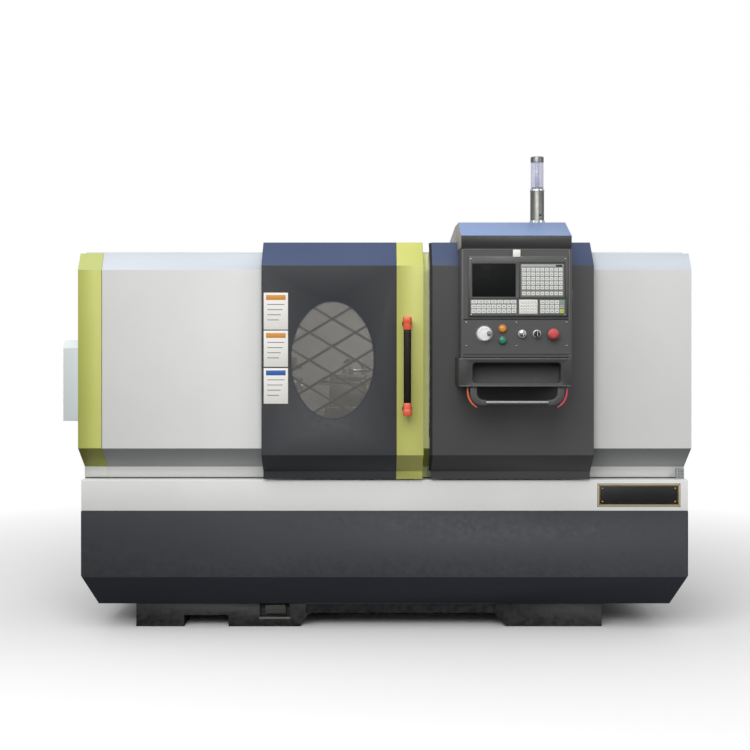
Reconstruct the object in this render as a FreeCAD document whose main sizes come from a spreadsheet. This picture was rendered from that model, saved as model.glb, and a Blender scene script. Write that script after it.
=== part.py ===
"""CNC turning lathe with a sheet-metal enclosure, as a parametric FreeCAD document.

Every size is a cell of the sheet "Dims", in millimetres. Bodies, primitives and
their places are bound to those cells by expressions. Inside this file a point is
given from the middle of the base in X, from the fixed front panels' face in Y
(positive to the rear) and from the floor in Z; at_x and at_y carry that onto
the part's own origin, at the middle of the bounding box on the floor.
"""

import FreeCAD
import Part
import math
import os
import Sketcher

doc = FreeCAD.newDocument("turning_lathe")

# --------------------------------------------------------------------------
# Driving dimensions: alias -> (millimetres, what it is)
# --------------------------------------------------------------------------
SIZES = {
    # whole machine
    "half_width": (1200, "half the width of base and enclosure"),
    "rear_y": (1100, "rear face of base and enclosure"),
    "sheet": (3, "sheet-metal thickness"),
    "fold_lip": (30, "depth of the folded lips of the fixed panels"),
    # fixed front profile
    "fix_top_z": (1515, "roof height"),
    "fix_top_y": (45, "depth of the top slope"),
    "fix_brow_z": (1449, "foot of the top slope"),
    "fix_sill_z": (749, "head of the bottom slope"),
    "fix_toe_y": (117, "depth of the bottom slope"),
    "fix_toe_z": (667, "foot of the bottom slope"),
    # sliding front profile
    "mov_out": (50, "how far the sliding guards stand in front of the fixed face"),
    "mov_top_z": (1558, "top of the sliding guards"),
    "mov_top_y": (40, "rear edge of their top slope"),
    "mov_brow_z": (1463, "foot of their top slope"),
    "mov_sill_z": (727, "head of their bottom slope"),
    "mov_toe_z": (656, "foot of their bottom slope"),
    "mov_gap": (5, "gap under the sliding guards"),
    "mov_return": (16, "depth of their end returns"),
    "hook_y": (90, "rear hook of the hanging lip"),
    "hook_drop": (32, "how far the hook hangs down"),
    # base
    "tray_top": (620, "top of the chip tray band"),
    "tray_low": (497, "bottom of the chip tray band"),
    "base_y": (55, "front face of the base"),
    "slope_z": (236, "head of the base's lower slope"),
    "tub_low": (93, "underside of the tub"),
    "slope_depth": (180, "depth of the front slope"),
    "slope_side": (30, "width of the end slopes"),
    "tub_wall": (8, "wall of the welded tub"),
    "foot_rear": (960, "rear face of the pedestals"),
    "ped_left": (-1015, "left pedestal, left face"),
    "ped_right": (-336, "left pedestal, right face at the floor"),
    "ped_flare": (16, "how much the left pedestal widens to its top"),
    "toe_wide": (12, "toe of the left pedestal, width"),
    "toe_side": (3, "toe of the left pedestal, step from its face"),
    "toe_low": (4, "toe of the left pedestal, lower corner"),
    "toe_high": (14, "toe of the left pedestal, upper corner"),
    "plinth_lap": (60, "how far the tail plinth passes the tailstock"),
    "plinth_inset": (20, "tail plinth from the bed's end"),
    "notch_left": (-819, "fork notch, left side"),
    "notch_right": (-637, "fork notch, right side"),
    "notch_top": (46, "fork notch height"),
    "beam_low": (53, "underside of the cross beam"),
    "beam_end": (454, "right end of the cross beam"),
    "foot_left": (499, "right pedestal, left face at the floor"),
    "foot_right": (891, "right pedestal, right face"),
    "pocket_left": (-510, "jacking pocket, left side"),
    "pocket_right": (-386, "jacking pocket, right side"),
    "pocket_low": (38, "jacking pocket, sill"),
    "pocket_depth": (40, "jacking pocket depth"),
    "anchor_radius": (11, "anchor hole radius"),
    "anchor_depth": (40, "anchor hole depth"),
    "anchor_inset": (45, "anchor hole from the pedestal's faces"),
    "tray_flange": (90, "inward flange of the chip tray"),
    # front openings
    "sill_top": (790, "sill of the front openings"),
    "lintel_low": (1385, "lintel of the front openings"),
    "cheek_rear": (150, "how far the end sheets wrap round the corner"),
    "trim_width": (93, "left end trim"),
    "open_left": (-440, "left edge of the door opening"),
    "post_left": (100, "left edge of the centre post"),
    "post_right": (173, "right edge of the centre post"),
    "open_right": (560, "right edge of the tailstock opening"),
    # door
    "door_left": (-478, "door, left edge"),
    "door_seam": (46, "seam of dark panel and green stile"),
    "door_right": (150, "door, right edge"),
    "window_x": (-203, "window centre"),
    "window_z": (1096, "window centre height"),
    "window_half_width": (161, "window half width"),
    "window_half_height": (227, "window half height"),
    "glass_lap": (14, "how far the glass laps the panel"),
    "glass_thick": (6, "glass thickness"),
    "bar_wide": (10, "grille bar width"),
    "bar_thick": (4, "grille bar thickness"),
    "bar_pitch": (91.6, "grille bar pitch"),
    "bar_tilt": (30.9, "grille bar tilt in degrees"),
    "bar_reach": (2.6, "grille bar length to the window's half height"),
    "rim_wide": (10, "width of the grille's rim"),
    "grip_x": (86, "door handle centre"),
    "grip_low": (883, "door handle, lower end"),
    "grip_high": (1263, "door handle, upper end"),
    "grip_radius": (15, "door handle bar radius"),
    "grip_out": (52, "door handle standoff"),
    "grip_end": (50, "length of the handle's end pieces"),
    "grip_cap": (2, "how far the end pieces stand round the bar"),
    "grip_post": (12, "radius of the handle's posts"),
    "track_y": (60, "upper track, front face"),
    "track_thick": (6, "upper track thickness"),
    "track_play": (1, "clearance of lip and track"),
    "shoe_thick": (8, "thickness of the front shoes"),
    "shoe_half": (25, "half the length of a shoe"),
    "shoe_grip": (4, "how far the shoes reach down the rail"),
    "shoe_inset": (60, "shoes from a guard's ends"),
    "return_slope": (0.75, "fall of a return's lower edge to its depth"),
    "rail_top": (1521, "top of the rail on the roof"),
    "rail_end": (20, "rail's end from the enclosure's side"),
    "stock_hole": (82.5, "radius of the bar stock hole in the enclosure's end"),
    "wall_gap": (5, "gap between partition and bed"),
    "nose_gap": (12, "gap round the spindle nose in the partition"),
    # control guard and console
    "guard_left": (183, "control guard, left edge"),
    "guard_right": (810, "control guard, right edge"),
    "con_left": (285, "console, left side"),
    "con_right": (701, "console, right side"),
    "con_top": (1519, "console top"),
    "con_out": (200, "console front"),
    "plate_inset": (6, "control plate from the console's sides"),
    "bezel_wall": (3, "switch bezel round its head"),
    "bezel_lap": (0.5, "how far a bezel laps its head"),
    "shelf_out": (270, "shelf front"),
    "shelf_left": (273, "shelf, left side"),
    "shelf_right": (689, "shelf, right side"),
    "shelf_top": (1107, "shelf top"),
    "shelf_low": (1002, "shelf underside"),
    "shelf_wall": (8, "shelf wall"),
    "bin_left": (322, "shelf bin, left side"),
    "bin_right": (651, "shelf bin, right side"),
    "bin_low": (1014, "shelf bin floor"),
    "bin_high": (1091, "shelf bin ceiling"),
    "bin_depth": (58, "shelf bin depth"),
    "bin_round": (14, "shelf bin corner radius"),
    "hood_front_low": (1521, "hood fascia, lower edge"),
    "hood_front_high": (1567, "hood fascia, upper edge"),
    "hood_out": (200, "hood front"),
    "hood_top": (1630, "hood top"),
    "hood_crest": (-39, "front edge of the hood's flat top"),
    "hood_flat_end": (160, "rear edge of the hood's flat top"),
    "hood_tail_y": (525, "rear edge of the hood's long slope"),
    "hood_tail_z": (1593, "height there"),
    "hood_end": (560, "rear of the hood"),
    "hood_skirt": (6, "hood's lower edge above the roof"),
    "hood_gap": (5, "hood's inner lip behind the guard's hook"),
    "unit_left": (313, "control unit, left side"),
    "unit_right": (685, "control unit, right side"),
    "unit_low": (1262, "control unit, lower edge"),
    "unit_high": (1490, "control unit, upper edge"),
    "unit_proud": (6, "how far the unit stands out of the console"),
    "screen_left": (326, "screen, left side"),
    "screen_right": (490, "screen, right side"),
    "screen_low": (1336, "screen, lower edge"),
    "screen_high": (1461, "screen, upper edge"),
    "keys_left": (508, "upper key field, left side"),
    "keys_right": (671, "upper key field, right side"),
    "pad_left": (319, "lower key field, left side"),
    "pad_low": (1271, "lower key field, lower edge"),
    "pad_high": (1327, "lower key field, upper edge"),
    "pad_right": (496, "lower key field, right side"),
    "grid_left": (501, "middle key field, left side"),
    "grid_right": (573, "middle key field, right side"),
    "jog_left": (578, "right key field, left side"),
    "jog_right": (675, "right key field, right side"),
    "recess": (2.5, "depth of the screen and key recesses"),
    "pull_half": (190, "half the width of the console's pull handle"),
    "pull_x": (488, "middle of the console's pull handle"),
    "pull_lip": (3, "leg's toe above the pull bar"),
    "pull_toe": (8, "slant of the leg's toe"),
    "pull_step": (2, "step of the legs' corners above their underside"),
    "pull_crook": (41.6, "inner corner of the legs above their underside"),
    "pull_low": (922, "underside of the pull handle"),
    "pull_y": (-250, "plane of the pull handle"),
    "pull_leg": (34, "width of its legs"),
    "pull_thick": (22, "depth of its legs"),
    "pull_bend": (52, "radius of its corners"),
    "pull_bar": (7.5, "pull bar radius"),
    "pull_rise": (20, "height of the pull bar above the handle's underside"),
    "pull_bar_half": (116, "half the length of the pull bar"),
    # switches on the console
    "switch_z": (1197, "height of the switch row"),
    "mpg_x": (372, "hand-pulse dial"),
    "mpg_radius": (29, "hand-pulse dial radius"),
    "dial_thick": (16, "hand-pulse dial thickness"),
    "peg_out": (30, "how far the dial's peg stands out"),
    "peg_x": (17, "dial's peg beside its middle"),
    "peg_z": (4, "dial's peg above its middle"),
    "peg_radius": (7.2, "radius of the dial's peg"),
    "lamp_x": (440, "push buttons"),
    "lamp_up": (20, "upper button above the row"),
    "lamp_down": (24, "lower button below the row"),
    "lamp_radius": (12, "push button radius"),
    "key_x": (514, "key switch"),
    "key_base": (9, "key switch barrel"),
    "key_thick": (3, "key thickness"),
    "key_neck": (20, "how far the key's neck reaches"),
    "key_out": (34, "how far the key stands out"),
    "blade_half": (5, "half the height of the key's neck"),
    "bow_half": (10, "half the height of the key's bow"),
    "selector_x": (569, "selector"),
    "knob_radius": (11, "selector radius"),
    "knob_base": (10, "selector base thickness"),
    "knob_high": (22, "how far the selector's bar stands out"),
    "knob_half": (4, "half the width of the selector's bar"),
    "stop_x": (628, "emergency stop"),
    "stop_radius": (20, "emergency stop head radius"),
    "stop_neck": (18, "emergency stop head from the plate"),
    "stop_thick": (10, "thickness of the head's disc"),
    "crown_high": (6, "height of the head's crown"),
    "crown_less": (8, "crown's front edge from the disc's rim"),
    "pin_less": (3, "how much thinner the stem's pin is"),
    "pin_long": (8, "length of the stem's pin"),
    "pin_lap": (0.5, "lap of pin and stem"),
    "stem_radius": (8, "switch stem radius"),
    "stem_play": (0.3, "stem clearance"),
    "stem_in": (25, "length of a stem behind the console's front"),
    "button_out": (13, "how far the push buttons stand out"),
    "bezel_high": (7, "height of the switch bezels"),
    "dial_gap": (1, "gap behind turning switch heads"),
    "push_gap": (4.5, "gap behind a push button at rest"),
    "plate_low": (1122, "control plate, lower edge"),
    "plate_high": (1249, "control plate, upper edge"),
    # beacon
    "beacon_x": (599, "beacon centre"),
    "beacon_y": (20, "beacon centre"),
    "beacon_radius": (27, "beacon post radius"),
    "lens_radius": (25, "beacon lens radius"),
    "beacon_joint": (1763, "joint of post and lens"),
    "beacon_top": (1892, "top of the beacon"),
    "collar_high": (10, "beacon collar height"),
    "collar_wall": (3, "beacon collar round its post"),
    "beacon_cap": (16, "height of the beacon's cap"),
    # spindle and headstock
    "axis_y": (450, "spindle axis"),
    "axis_z": (1010, "spindle axis height"),
    "bore_radius": (26, "spindle bore"),
    "spindle_left": (-1180, "rear end of the spindle"),
    "nose_x": (-480, "spindle nose face"),
    "journal_radius": (55, "spindle journals"),
    "nose_radius": (70, "spindle nose flange"),
    "nose_thick": (18, "spindle nose flange thickness"),
    "run_play": (0.05, "running clearance"),
    "bearing_radius": (80, "outer radius of the bearings"),
    "bearing_long": (60, "length of a bearing"),
    "head_left": (-1030, "headstock, left face"),
    "head_right": (-505, "headstock, right face"),
    "head_half": (165, "half the depth of the headstock"),
    "head_top": (1190, "headstock top"),
    "head_wall": (25, "headstock casting wall"),
    "head_round": (30, "radius of the headstock's top edges"),
    "pulley_left": (-1140, "pulleys, left face"),
    "pulley_wide": (60, "pulley face width"),
    "pulley_radius": (100, "spindle pulley radius"),
    "small_pulley": (62, "motor pulley radius"),
    "belt_thick": (8, "belt thickness"),
    "belt_play": (0.3, "belt clearance"),
    "motor_y": (830, "main motor axis"),
    "motor_z": (760, "main motor axis height"),
    "motor_half": (110, "half the motor's square"),
    "motor_left": (-1050, "motor, left face"),
    "motor_right": (-720, "motor, right face"),
    "shaft_radius": (19, "motor shaft radius"),
    "stand_inset": (20, "motor stand from the motor's left face"),
    "shaft_seat": (60, "depth of the shaft's bore in the motor"),
    "shaft_over": (5, "how far the motor shaft passes its pulley"),
    "shaft_gap": (2, "gap behind the motor shaft"),
    "belt_inset": (3, "belt from the pulley's faces"),
    "chuck_radius": (100, "chuck radius"),
    "chuck_thick": (85, "chuck thickness"),
    "slot_start": (4, "jaw slot from the spindle bore"),
    "slot_over": (5, "how far a jaw slot runs past the rim"),
    "slot_deep": (22, "jaw slot depth"),
    "jaw_wide": (36, "jaw width"),
    "jaw_play": (0.3, "jaw clearance in its slot"),
    "jaw_inner": (38, "jaw inner radius at rest"),
    "jaw_long": (52, "jaw radial length"),
    "jaw_out": (48, "how far the jaws stand out of the chuck"),
    # bed and drives
    "bed_left": (-1060, "bed, left end"),
    "bed_right": (900, "bed, right end"),
    "bed_half": (160, "half the width of the bed"),
    "bed_high": (250, "height of the bed casting"),
    "bed_top": (810, "top of the bed ways"),
    "way_wide": (60, "width of a bed way"),
    "way_high": (40, "height of a bed way"),
    "bed_wall": (30, "bed casting wall"),
    "screw_y": (235, "long ball screw axis"),
    "screw_z": (765, "long ball screw axis height"),
    "screw_radius": (16, "long ball screw radius"),
    "screw_over": (12, "how far the long screw passes its left lug"),
    "screw_seat": (20, "length of a ball screw's end in its servo"),
    "servo_bore": (24, "depth of a servo's bore"),
    "lug_left": (-470, "left bearing lug"),
    "lug_right": (880, "right bearing lug"),
    "lug_wide": (40, "lug width along the screw"),
    "lug_half": (32, "half the lug's square"),
    "servo_half": (54, "half the servo motor's square"),
    "servo_long": (170, "servo motor length"),
    # carriage
    "tool_x": (-150, "tool post axis"),
    "tool_y": (260, "tool post axis, behind the front face"),
    "saddle_half": (140, "half the saddle's length"),
    "saddle_high": (50, "saddle thickness"),
    "saddle_over": (20, "saddle's overhang behind the bed"),
    "channel_half": (24, "half the width of the saddle's channel"),
    "channel_start": (90, "channel from the cross slide's front end"),
    "channel_end": (10, "channel's end from the bed's rear face"),
    "channel_floor": (6, "floor of the saddle's channel"),
    "cross_seat": (12, "cross screw's bore from the saddle's front"),
    "cross_start": (14, "cross screw's end from the saddle's front"),
    "slide_gap": (0.5, "gap between sliding faces"),
    "slide_half": (90, "half the cross slide's width"),
    "slide_front": (150, "cross slide, front end"),
    "slide_rear": (520, "cross slide, rear end"),
    "slide_high": (40, "cross slide thickness"),
    "nut_half": (20, "half the width of the cross slide's nut"),
    "nut_start": (170, "cross nut from the slide's front end"),
    "nut_end": (210, "cross nut's end from the slide's front end"),
    "nut_drop": (42, "how far the cross nut hangs down"),
    "cross_z": (832, "cross ball screw axis height"),
    "cross_radius": (10, "cross ball screw radius"),
    "cross_servo_half": (28, "half the cross servo's square"),
    "cross_servo_long": (120, "cross servo length"),
    "post_half": (72, "half the tool post's square"),
    "post_high": (110, "tool post height"),
    "boss_radius": (22, "radius of the tool post's clamping boss"),
    "boss_high": (24, "height of the clamping boss"),
    "lever_long": (95, "length of the tool post's lever"),
    "lever_up": (15, "height of the lever above the post"),
    "lever_radius": (7, "lever radius"),
    "clamp_radius": (6, "tool clamping screw radius"),
    "clamp_high": (10, "height of the clamping screws"),
    "tool_inset": (12, "end of a shank from the post's face"),
    "tool_side": (20, "tool shank square"),
    "tool_reach": (45, "how far a tool stands out"),
    # tailstock
    "tail_left": (640, "tailstock, left end"),
    "tail_right": (860, "tailstock, right end"),
    "tail_half": (105, "half the tailstock's depth"),
    "tail_foot": (40, "tailstock foot thickness"),
    "web_left": (15, "tailstock web from its left end"),
    "web_right": (10, "tailstock web from its right end"),
    "quill_stop": (12, "wall behind the quill's bore"),
    "quill_short": (60, "quill's end from the tailstock's right end"),
    "quill_radius": (32, "quill radius"),
    "quill_out": (50, "quill standing out at rest"),
    "centre_long": (60, "live centre length"),
    "centre_radius": (22.4, "live centre radius"),
    "centre_tip": (0.5, "radius of the centre's blunt tip"),
    "wheel_radius": (80, "handwheel radius"),
    "wheel_gap": (6, "handwheel from the tailstock"),
    "wheel_wide": (18, "handwheel rim width"),
    "rim_thick": (16, "handwheel rim thickness"),
    "spoke_start": (5, "handwheel disc from the rim's left face"),
    "spoke_end": (13, "end of the disc from the same face"),
    "hub_long": (24, "handwheel hub length"),
    "hub_radius": (22, "handwheel hub radius"),
    "wheel_seat": (40, "length of the handwheel's shaft in the tailstock"),
    "crank_start": (16, "handwheel grip from the rim's left face"),
    "crank_long": (50, "handwheel grip length"),
    "crank_radius": (6.4, "handwheel grip radius"),
    # end cover, rear cabinet
    "cover_len": (130, "end cover length"),
    "cover_half": (150, "half the end cover's depth"),
    "cover_low": (837, "end cover underside"),
    "cover_high": (1171, "end cover top"),
    "cover_slope": (32, "end cover's top slope"),
    "bar_hole": (40, "bar inlet radius"),
    "cab_left": (150, "cabinet, left side"),
    "cab_right": (900, "cabinet, right side"),
    "cab_low": (680, "cabinet underside"),
    "cab_high": (1480, "cabinet top"),
    "cab_deep": (250, "depth of the cabinet with its door"),
    "gear_inset": (40, "mounting plate from the cabinet's walls"),
    "gear_plate": (3, "mounting plate thickness"),
    "stud_long": (8, "length of the plate's studs"),
    "stud_radius": (6, "radius of the plate's studs"),
    "stud_inset": (60, "studs from the cabinet's walls"),
    "drive_left": (70, "first drive from the cabinet's left side"),
    "drive_pitch": (210, "pitch of the drives"),
    "drive_wide": (150, "width of a drive"),
    "drive_deep": (150, "drive's front from the rear sheet"),
    "drive_low": (420, "drive's underside below the cabinet's top"),
    "drive_high": (90, "drive's top below the cabinet's top"),
    "switch_inset": (110, "main switch from the cabinet's right side"),
    "switch_drop": (160, "main switch below the cabinet's top"),
    "cab_door_thick": (20, "cabinet door thickness"),
    "door_play": (1.5, "gap around the cabinet door"),
    "hinge_radius": (7, "cabinet hinge pin radius"),
    "pin_radius": (4.2, "radius of the hinge's inner pin"),
    "hinge_inset": (120, "hinges from the cabinet's top and bottom"),
    "hinge_half": (40, "half the height of a hinge"),
    "hinge_split": (5, "fixed knuckle's end below the hinge's middle"),
    "knuckle_low": (4, "turning knuckle's end below the middle"),
    "link_half": (3, "half the thickness of the hinge's link"),
    "link_deep": (12, "depth of the hinge's link"),
    "bracket_deep": (30, "depth of the hinge's bracket"),
    "bracket_gap": (9, "bracket from the hinge's axis"),
    "tab_thick": (5, "thickness of the door's hinge tabs"),
    "tab_lap": (3, "lap of the tabs and the door"),
    "tab_gap": (2, "gap above and below a hinge"),
    "switch_radius": (26, "main switch radius"),
    "switch_base": (10, "base of the main switch"),
    "lever_half": (6, "half the thickness of its lever"),
    "lever_reach": (23.4, "half the length of its lever"),
    "shaft_in": (2, "end of its shaft inside the door"),
    "knob_out": (26, "how far the main switch stands out of the cabinet"),
}

NODES = {}

# directions of the chuck's jaws round the spindle, in degrees
JAW_ANGLES = (90, 210, 330)
# grille bars on each side of the window's middle, and ribs in the bed
BARS = 3
RIBS = 7
# drives on the cabinet's mounting plate
DRIVES = 3
# corner of a pull leg as parts of its bend: inward and upward
PULL_CORNER = ((0, 0.55), (0.16, 0.22))


class Size:
    """A number together with the sheet expression it comes from."""

    def __init__(self, value, text):
        self.value = float(value)
        self.text = text

    def joined(self, other, sign, value):
        """The two sizes joined by an operator sign."""
        return Size(value, f"({self.text} {sign} {other.text})")

    def __add__(self, other):
        other = as_size(other)
        return self.joined(other, "+", self.value + other.value)

    def __sub__(self, other):
        other = as_size(other)
        return self.joined(other, "-", self.value - other.value)

    def __mul__(self, other):
        other = as_size(other)
        return self.joined(other, "*", self.value * other.value)

    def __truediv__(self, other):
        other = as_size(other)
        return self.joined(other, "/", self.value / other.value)

    def __radd__(self, other):
        return as_size(other) + self

    def __rsub__(self, other):
        return as_size(other) - self

    def __rmul__(self, other):
        return as_size(other) * self

    def __neg__(self):
        return Size(-self.value, f"(0 - {self.text})")


def as_size(value):
    """A plain number as a Size; a Size as it is."""
    if isinstance(value, Size):
        return value
    return Size(value, f"({value:.9g})")


def function(name, size, value):
    """A function of a size that the sheet's expressions know too."""
    return Size(value, f"{name}({size.text})")


def cosine(angle):
    """The cosine of an angle in degrees."""
    return function("cos", angle, math.cos(math.radians(angle.value)))


def sine(angle):
    """The sine of an angle in degrees."""
    return function("sin", angle, math.sin(math.radians(angle.value)))


def arc_tangent(ratio):
    """The angle whose tangent is the ratio, in degrees, as a plain number."""
    degrees = math.degrees(math.atan(ratio.value))
    return Size(degrees, f"(atan({ratio.text}) / 1 deg)")


def arc_sine(ratio):
    """The angle whose sine is the ratio, in degrees, as a plain number."""
    degrees = math.degrees(math.asin(ratio.value))
    return Size(degrees, f"(asin({ratio.text}) / 1 deg)")


def square_root(size):
    """The square root of a size."""
    return function("sqrt", size, math.sqrt(size.value))


class Dimensions:
    """The sheet's cells by name."""

    def __init__(self):
        sheet = doc.addObject("Spreadsheet::Sheet", "Dims")
        for row, (alias, (size, meaning)) in enumerate(SIZES.items(), start=1):
            sheet.set(f"A{row}", meaning)
            sheet.set(f"B{row}", str(size))
            sheet.setAlias(f"B{row}", alias)
        doc.recompute()
        for alias in SIZES:
            setattr(self, alias, Size(getattr(sheet, alias), f"Dims.{alias}"))


d = Dimensions()
NONE = as_size(0)
# how far a cutting tool runs past what it cuts
PAST = as_size(1)


def at_x(x):
    """A distance from the base's middle, seen from the part's origin."""
    return d.cover_len / 2 + x


def cab_back():
    """The rear face of the cabinet's door."""
    return d.rear_y + d.cab_deep


def at_y(y):
    """A distance behind the front face, seen from the part's origin."""
    return (d.shelf_out - cab_back() - d.knob_out) / 2 + y


# --------------------------------------------------------------------------
# Building blocks
# --------------------------------------------------------------------------
def bind(thing, name, size):
    """Binds a property to a size of the sheet."""
    thing.setExpression(name, as_size(size).text)


def place(thing, x, y, z, turn=None):
    """Binds a placement, with a fixed turn if one is given."""
    if turn is not None:
        thing.Placement.Rotation = turn
    bind(thing, "Placement.Base.x", x)
    bind(thing, "Placement.Base.y", y)
    bind(thing, "Placement.Base.z", z)
    return thing


def block(name, x, y, z):
    """A box between pairs of limits in X, Y and Z."""
    solid = doc.addObject("Part::Box", name)
    for side, (low, high) in zip(("Length", "Width", "Height"), (x, y, z)):
        bind(solid, side, high - as_size(low))
    return place(solid, at_x(x[0]), at_y(y[0]), z[0])


TURNS = {
    "x": FreeCAD.Rotation(FreeCAD.Vector(0, 1, 0), 90),
    "y": FreeCAD.Rotation(FreeCAD.Vector(1, 0, 0), -90),
    "z": FreeCAD.Rotation(),
}


def start_of(axis, start, across):
    """Where a round solid along an axis begins."""
    if axis == "x":
        return at_x(start), at_y(across[0]), across[1]
    if axis == "y":
        return at_x(across[0]), at_y(start), across[1]
    return at_x(across[0]), at_y(across[1]), start


def rod(name, axis, start, end, across, radius):
    """A cylinder along an axis from start to end, at the other two coordinates."""
    solid = doc.addObject("Part::Cylinder", name)
    bind(solid, "Radius", radius)
    bind(solid, "Height", end - as_size(start))
    return place(solid, *start_of(axis, start, across), TURNS[axis])


def cone(name, axis, start, end, across, radius_start, radius_end):
    """A cone frustum along an axis from start to end."""
    solid = doc.addObject("Part::Cone", name)
    bind(solid, "Radius1", radius_start)
    bind(solid, "Radius2", radius_end)
    bind(solid, "Height", end - as_size(start))
    return place(solid, *start_of(axis, start, across), TURNS[axis])


def fuse(name, *parts):
    """The parts as one object; parts that don't touch stay separate solids."""
    result = doc.addObject("Part::MultiFuse", name)
    result.Shapes = list(parts)
    return result


def common(name, *parts):
    """What the parts share."""
    result = doc.addObject("Part::MultiCommon", name)
    result.Shapes = list(parts)
    return result


def cut(name, base, *tools):
    """Base less the tools."""
    tool = tools[0] if len(tools) == 1 else fuse(name + "_cuts", *tools)
    result = doc.addObject("Part::Cut", name)
    result.Base = base
    result.Tool = tool
    return result


def ring(name, axis, start, end, across, outer, inner):
    """A tube along an axis."""
    whole = rod(name + "_outer", axis, start, end, across, outer)
    hole = rod(name + "_inner", axis, as_size(start) - 1, as_size(end) + 1, across, inner)
    return cut(name, whole, hole)


def swept(name, letters, points, low, high):
    """A body: the outline of the points on an origin plane, padded between two limits."""
    body = doc.addObject("PartDesign::Body", name)
    plane = next(f for f in body.Origin.OriginFeatures if f.Role == letters + "_Plane")
    sketch = body.newObject("Sketcher::SketchObject", name + "_sketch")
    sketch.AttachmentSupport = [(plane, "")]
    sketch.MapMode = "FlatFace"
    corners = [(as_size(u), as_size(v)) for u, v in points]
    count = len(corners)
    spots = [FreeCAD.Vector(u.value, v.value, 0) for u, v in corners]
    for i in range(count):
        sketch.addGeometry(Part.LineSegment(spots[i], spots[(i + 1) % count]), False)
    for i in range(count):
        sketch.addConstraint(Sketcher.Constraint("Coincident", i, 2, (i + 1) % count, 1))
    for i, corner in enumerate(corners):
        for kind, size in zip(("DistanceX", "DistanceY"), corner):
            limit = Sketcher.Constraint(kind, -1, 1, i, 1, size.value)
            index = sketch.addConstraint(limit)
            bind(sketch, f"Constraints[{index}]", size)
    pad = body.newObject("PartDesign::Pad", name + "_pad")
    pad.Profile = sketch
    bind(pad, "Length", high - as_size(low))
    body.Tip = pad
    return body


def along_x(name, points, left, right):
    """A body swept along X from (behind the face, height) points."""
    body = swept(name, "YZ", [(at_y(y), z) for y, z in points], left, right)
    bind(body, "Placement.Base.x", at_x(left))
    return body


def along_y(name, points, front, rear):
    """A body swept along Y from (across, height) points."""
    body = swept(name, "XZ", [(at_x(x), z) for x, z in points], front, rear)
    bind(body, "Placement.Base.y", at_y(rear))  # this plane's normal points forward
    return body


def oval(name, half_width, half_height, front, rear):
    """An upright oval plate at the window's centre."""
    edge = doc.addObject("Part::Ellipse", name + "_edge")
    bind(edge, "MajorRadius", half_height)
    bind(edge, "MinorRadius", half_width)
    # the long axis goes upright and the normal to the rear
    upright = FreeCAD.Rotation(FreeCAD.Vector(0, 0, 1), FreeCAD.Vector(1, 0, 0), FreeCAD.Vector(0, 1, 0))
    place(edge, at_x(d.window_x), at_y(front), d.window_z, upright)
    plate = doc.addObject("Part::Extrusion", name)
    plate.Base = edge
    plate.DirMode = "Custom"
    plate.Dir = FreeCAD.Vector(0, 1, 0)
    bind(plate, "LengthFwd", rear - as_size(front))
    plate.Solid = True
    return plate


def soften(name, base, radius, chosen):
    """Rounds the edges of base that the test picks."""
    doc.recompute()
    picked = [i for i, edge in enumerate(base.Shape.Edges, start=1) if chosen(edge)]
    result = doc.addObject("Part::Fillet", name)
    result.Base = base
    result.Edges = [(i, radius.value, radius.value) for i in picked]
    return result


def runs_along(edge, axis):
    """True for a straight edge that runs along the axis."""
    if not isinstance(edge.Curve, Part.Line):
        return False
    direction = edge.tangentAt(edge.FirstParameter)
    return abs(abs(getattr(direction, axis)) - 1) < 1e-6


def keep(node, thing):
    """Names an object as one of the machine's pieces."""
    thing.Label = node
    NODES[node] = thing
    return thing


# --------------------------------------------------------------------------
# Base
# --------------------------------------------------------------------------
def tub_solid(name, inset):
    """The tub's outside drawn in by an inset, open upward."""
    front = d.base_y + inset
    rear = d.rear_y - inset
    low = d.tub_low + inset
    side = d.half_width - inset
    lengthwise = along_x(
        name + "_long",
        [
            (front, d.tray_low),
            (front, d.slope_z),
            (front + d.slope_depth, low),
            (rear, low),
            (rear, d.tray_low),
        ],
        -side,
        side,
    )
    crosswise = along_y(
        name + "_cross",
        [
            (-side, d.tray_low),
            (-side, d.slope_z),
            (-side + d.slope_side, low),
            (side - d.slope_side, low),
            (side, d.slope_z),
            (side, d.tray_low),
        ],
        front - 1,
        rear + 1,
    )
    return common(name, lengthwise, crosswise)


def bed_low():
    """The height of the bed's underside, on top of the plinths."""
    return d.bed_top - d.bed_high


def base_tub():
    """The welded tub: sloped underside, beam between the pedestals, plinths for the bed."""
    shell = cut("tub_shell", tub_solid("tub_out", NONE), tub_solid("tub_in", d.tub_wall))
    beam = block(
        "cross_beam",
        (d.ped_right + d.ped_flare, d.beam_end),
        (d.base_y + d.slope_depth, d.foot_rear),
        (d.beam_low, d.tub_low),
    )
    floor = d.tub_low + d.tub_wall
    half = d.bed_half
    head = block(
        "head_plinth",
        (d.head_left, d.head_right),
        (d.axis_y - half, d.motor_y + d.motor_half),
        (floor, bed_low()),
    )
    tail = block(
        "tail_plinth",
        (d.tail_left - d.plinth_lap, d.bed_right - d.plinth_inset),
        (d.axis_y - half, d.axis_y + half),
        (floor, bed_low()),
    )
    keep("base_tub", fuse("base_tub", shell, beam, head, tail))


def chip_tray():
    """The pale band round the machine's waist, flanged inward to carry the panels."""
    outer = block(
        "tray_out",
        (-d.half_width, d.half_width),
        (d.base_y, d.rear_y),
        (d.tray_low, d.tray_top),
    )
    wall = d.tub_wall
    inner = block(
        "tray_in",
        (wall - d.half_width, d.half_width - wall),
        (d.base_y + wall, d.rear_y - wall),
        (d.tray_low - 1, d.tray_top - wall),
    )
    mouth = block(
        "tray_mouth",
        (d.tray_flange - d.half_width, d.half_width - d.tray_flange),
        (d.base_y + d.tray_flange, d.rear_y - d.tray_flange),
        (d.tray_low, d.tray_top + 1),
    )
    keep("chip_tray", cut("chip_tray", outer, inner, mouth))


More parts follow.
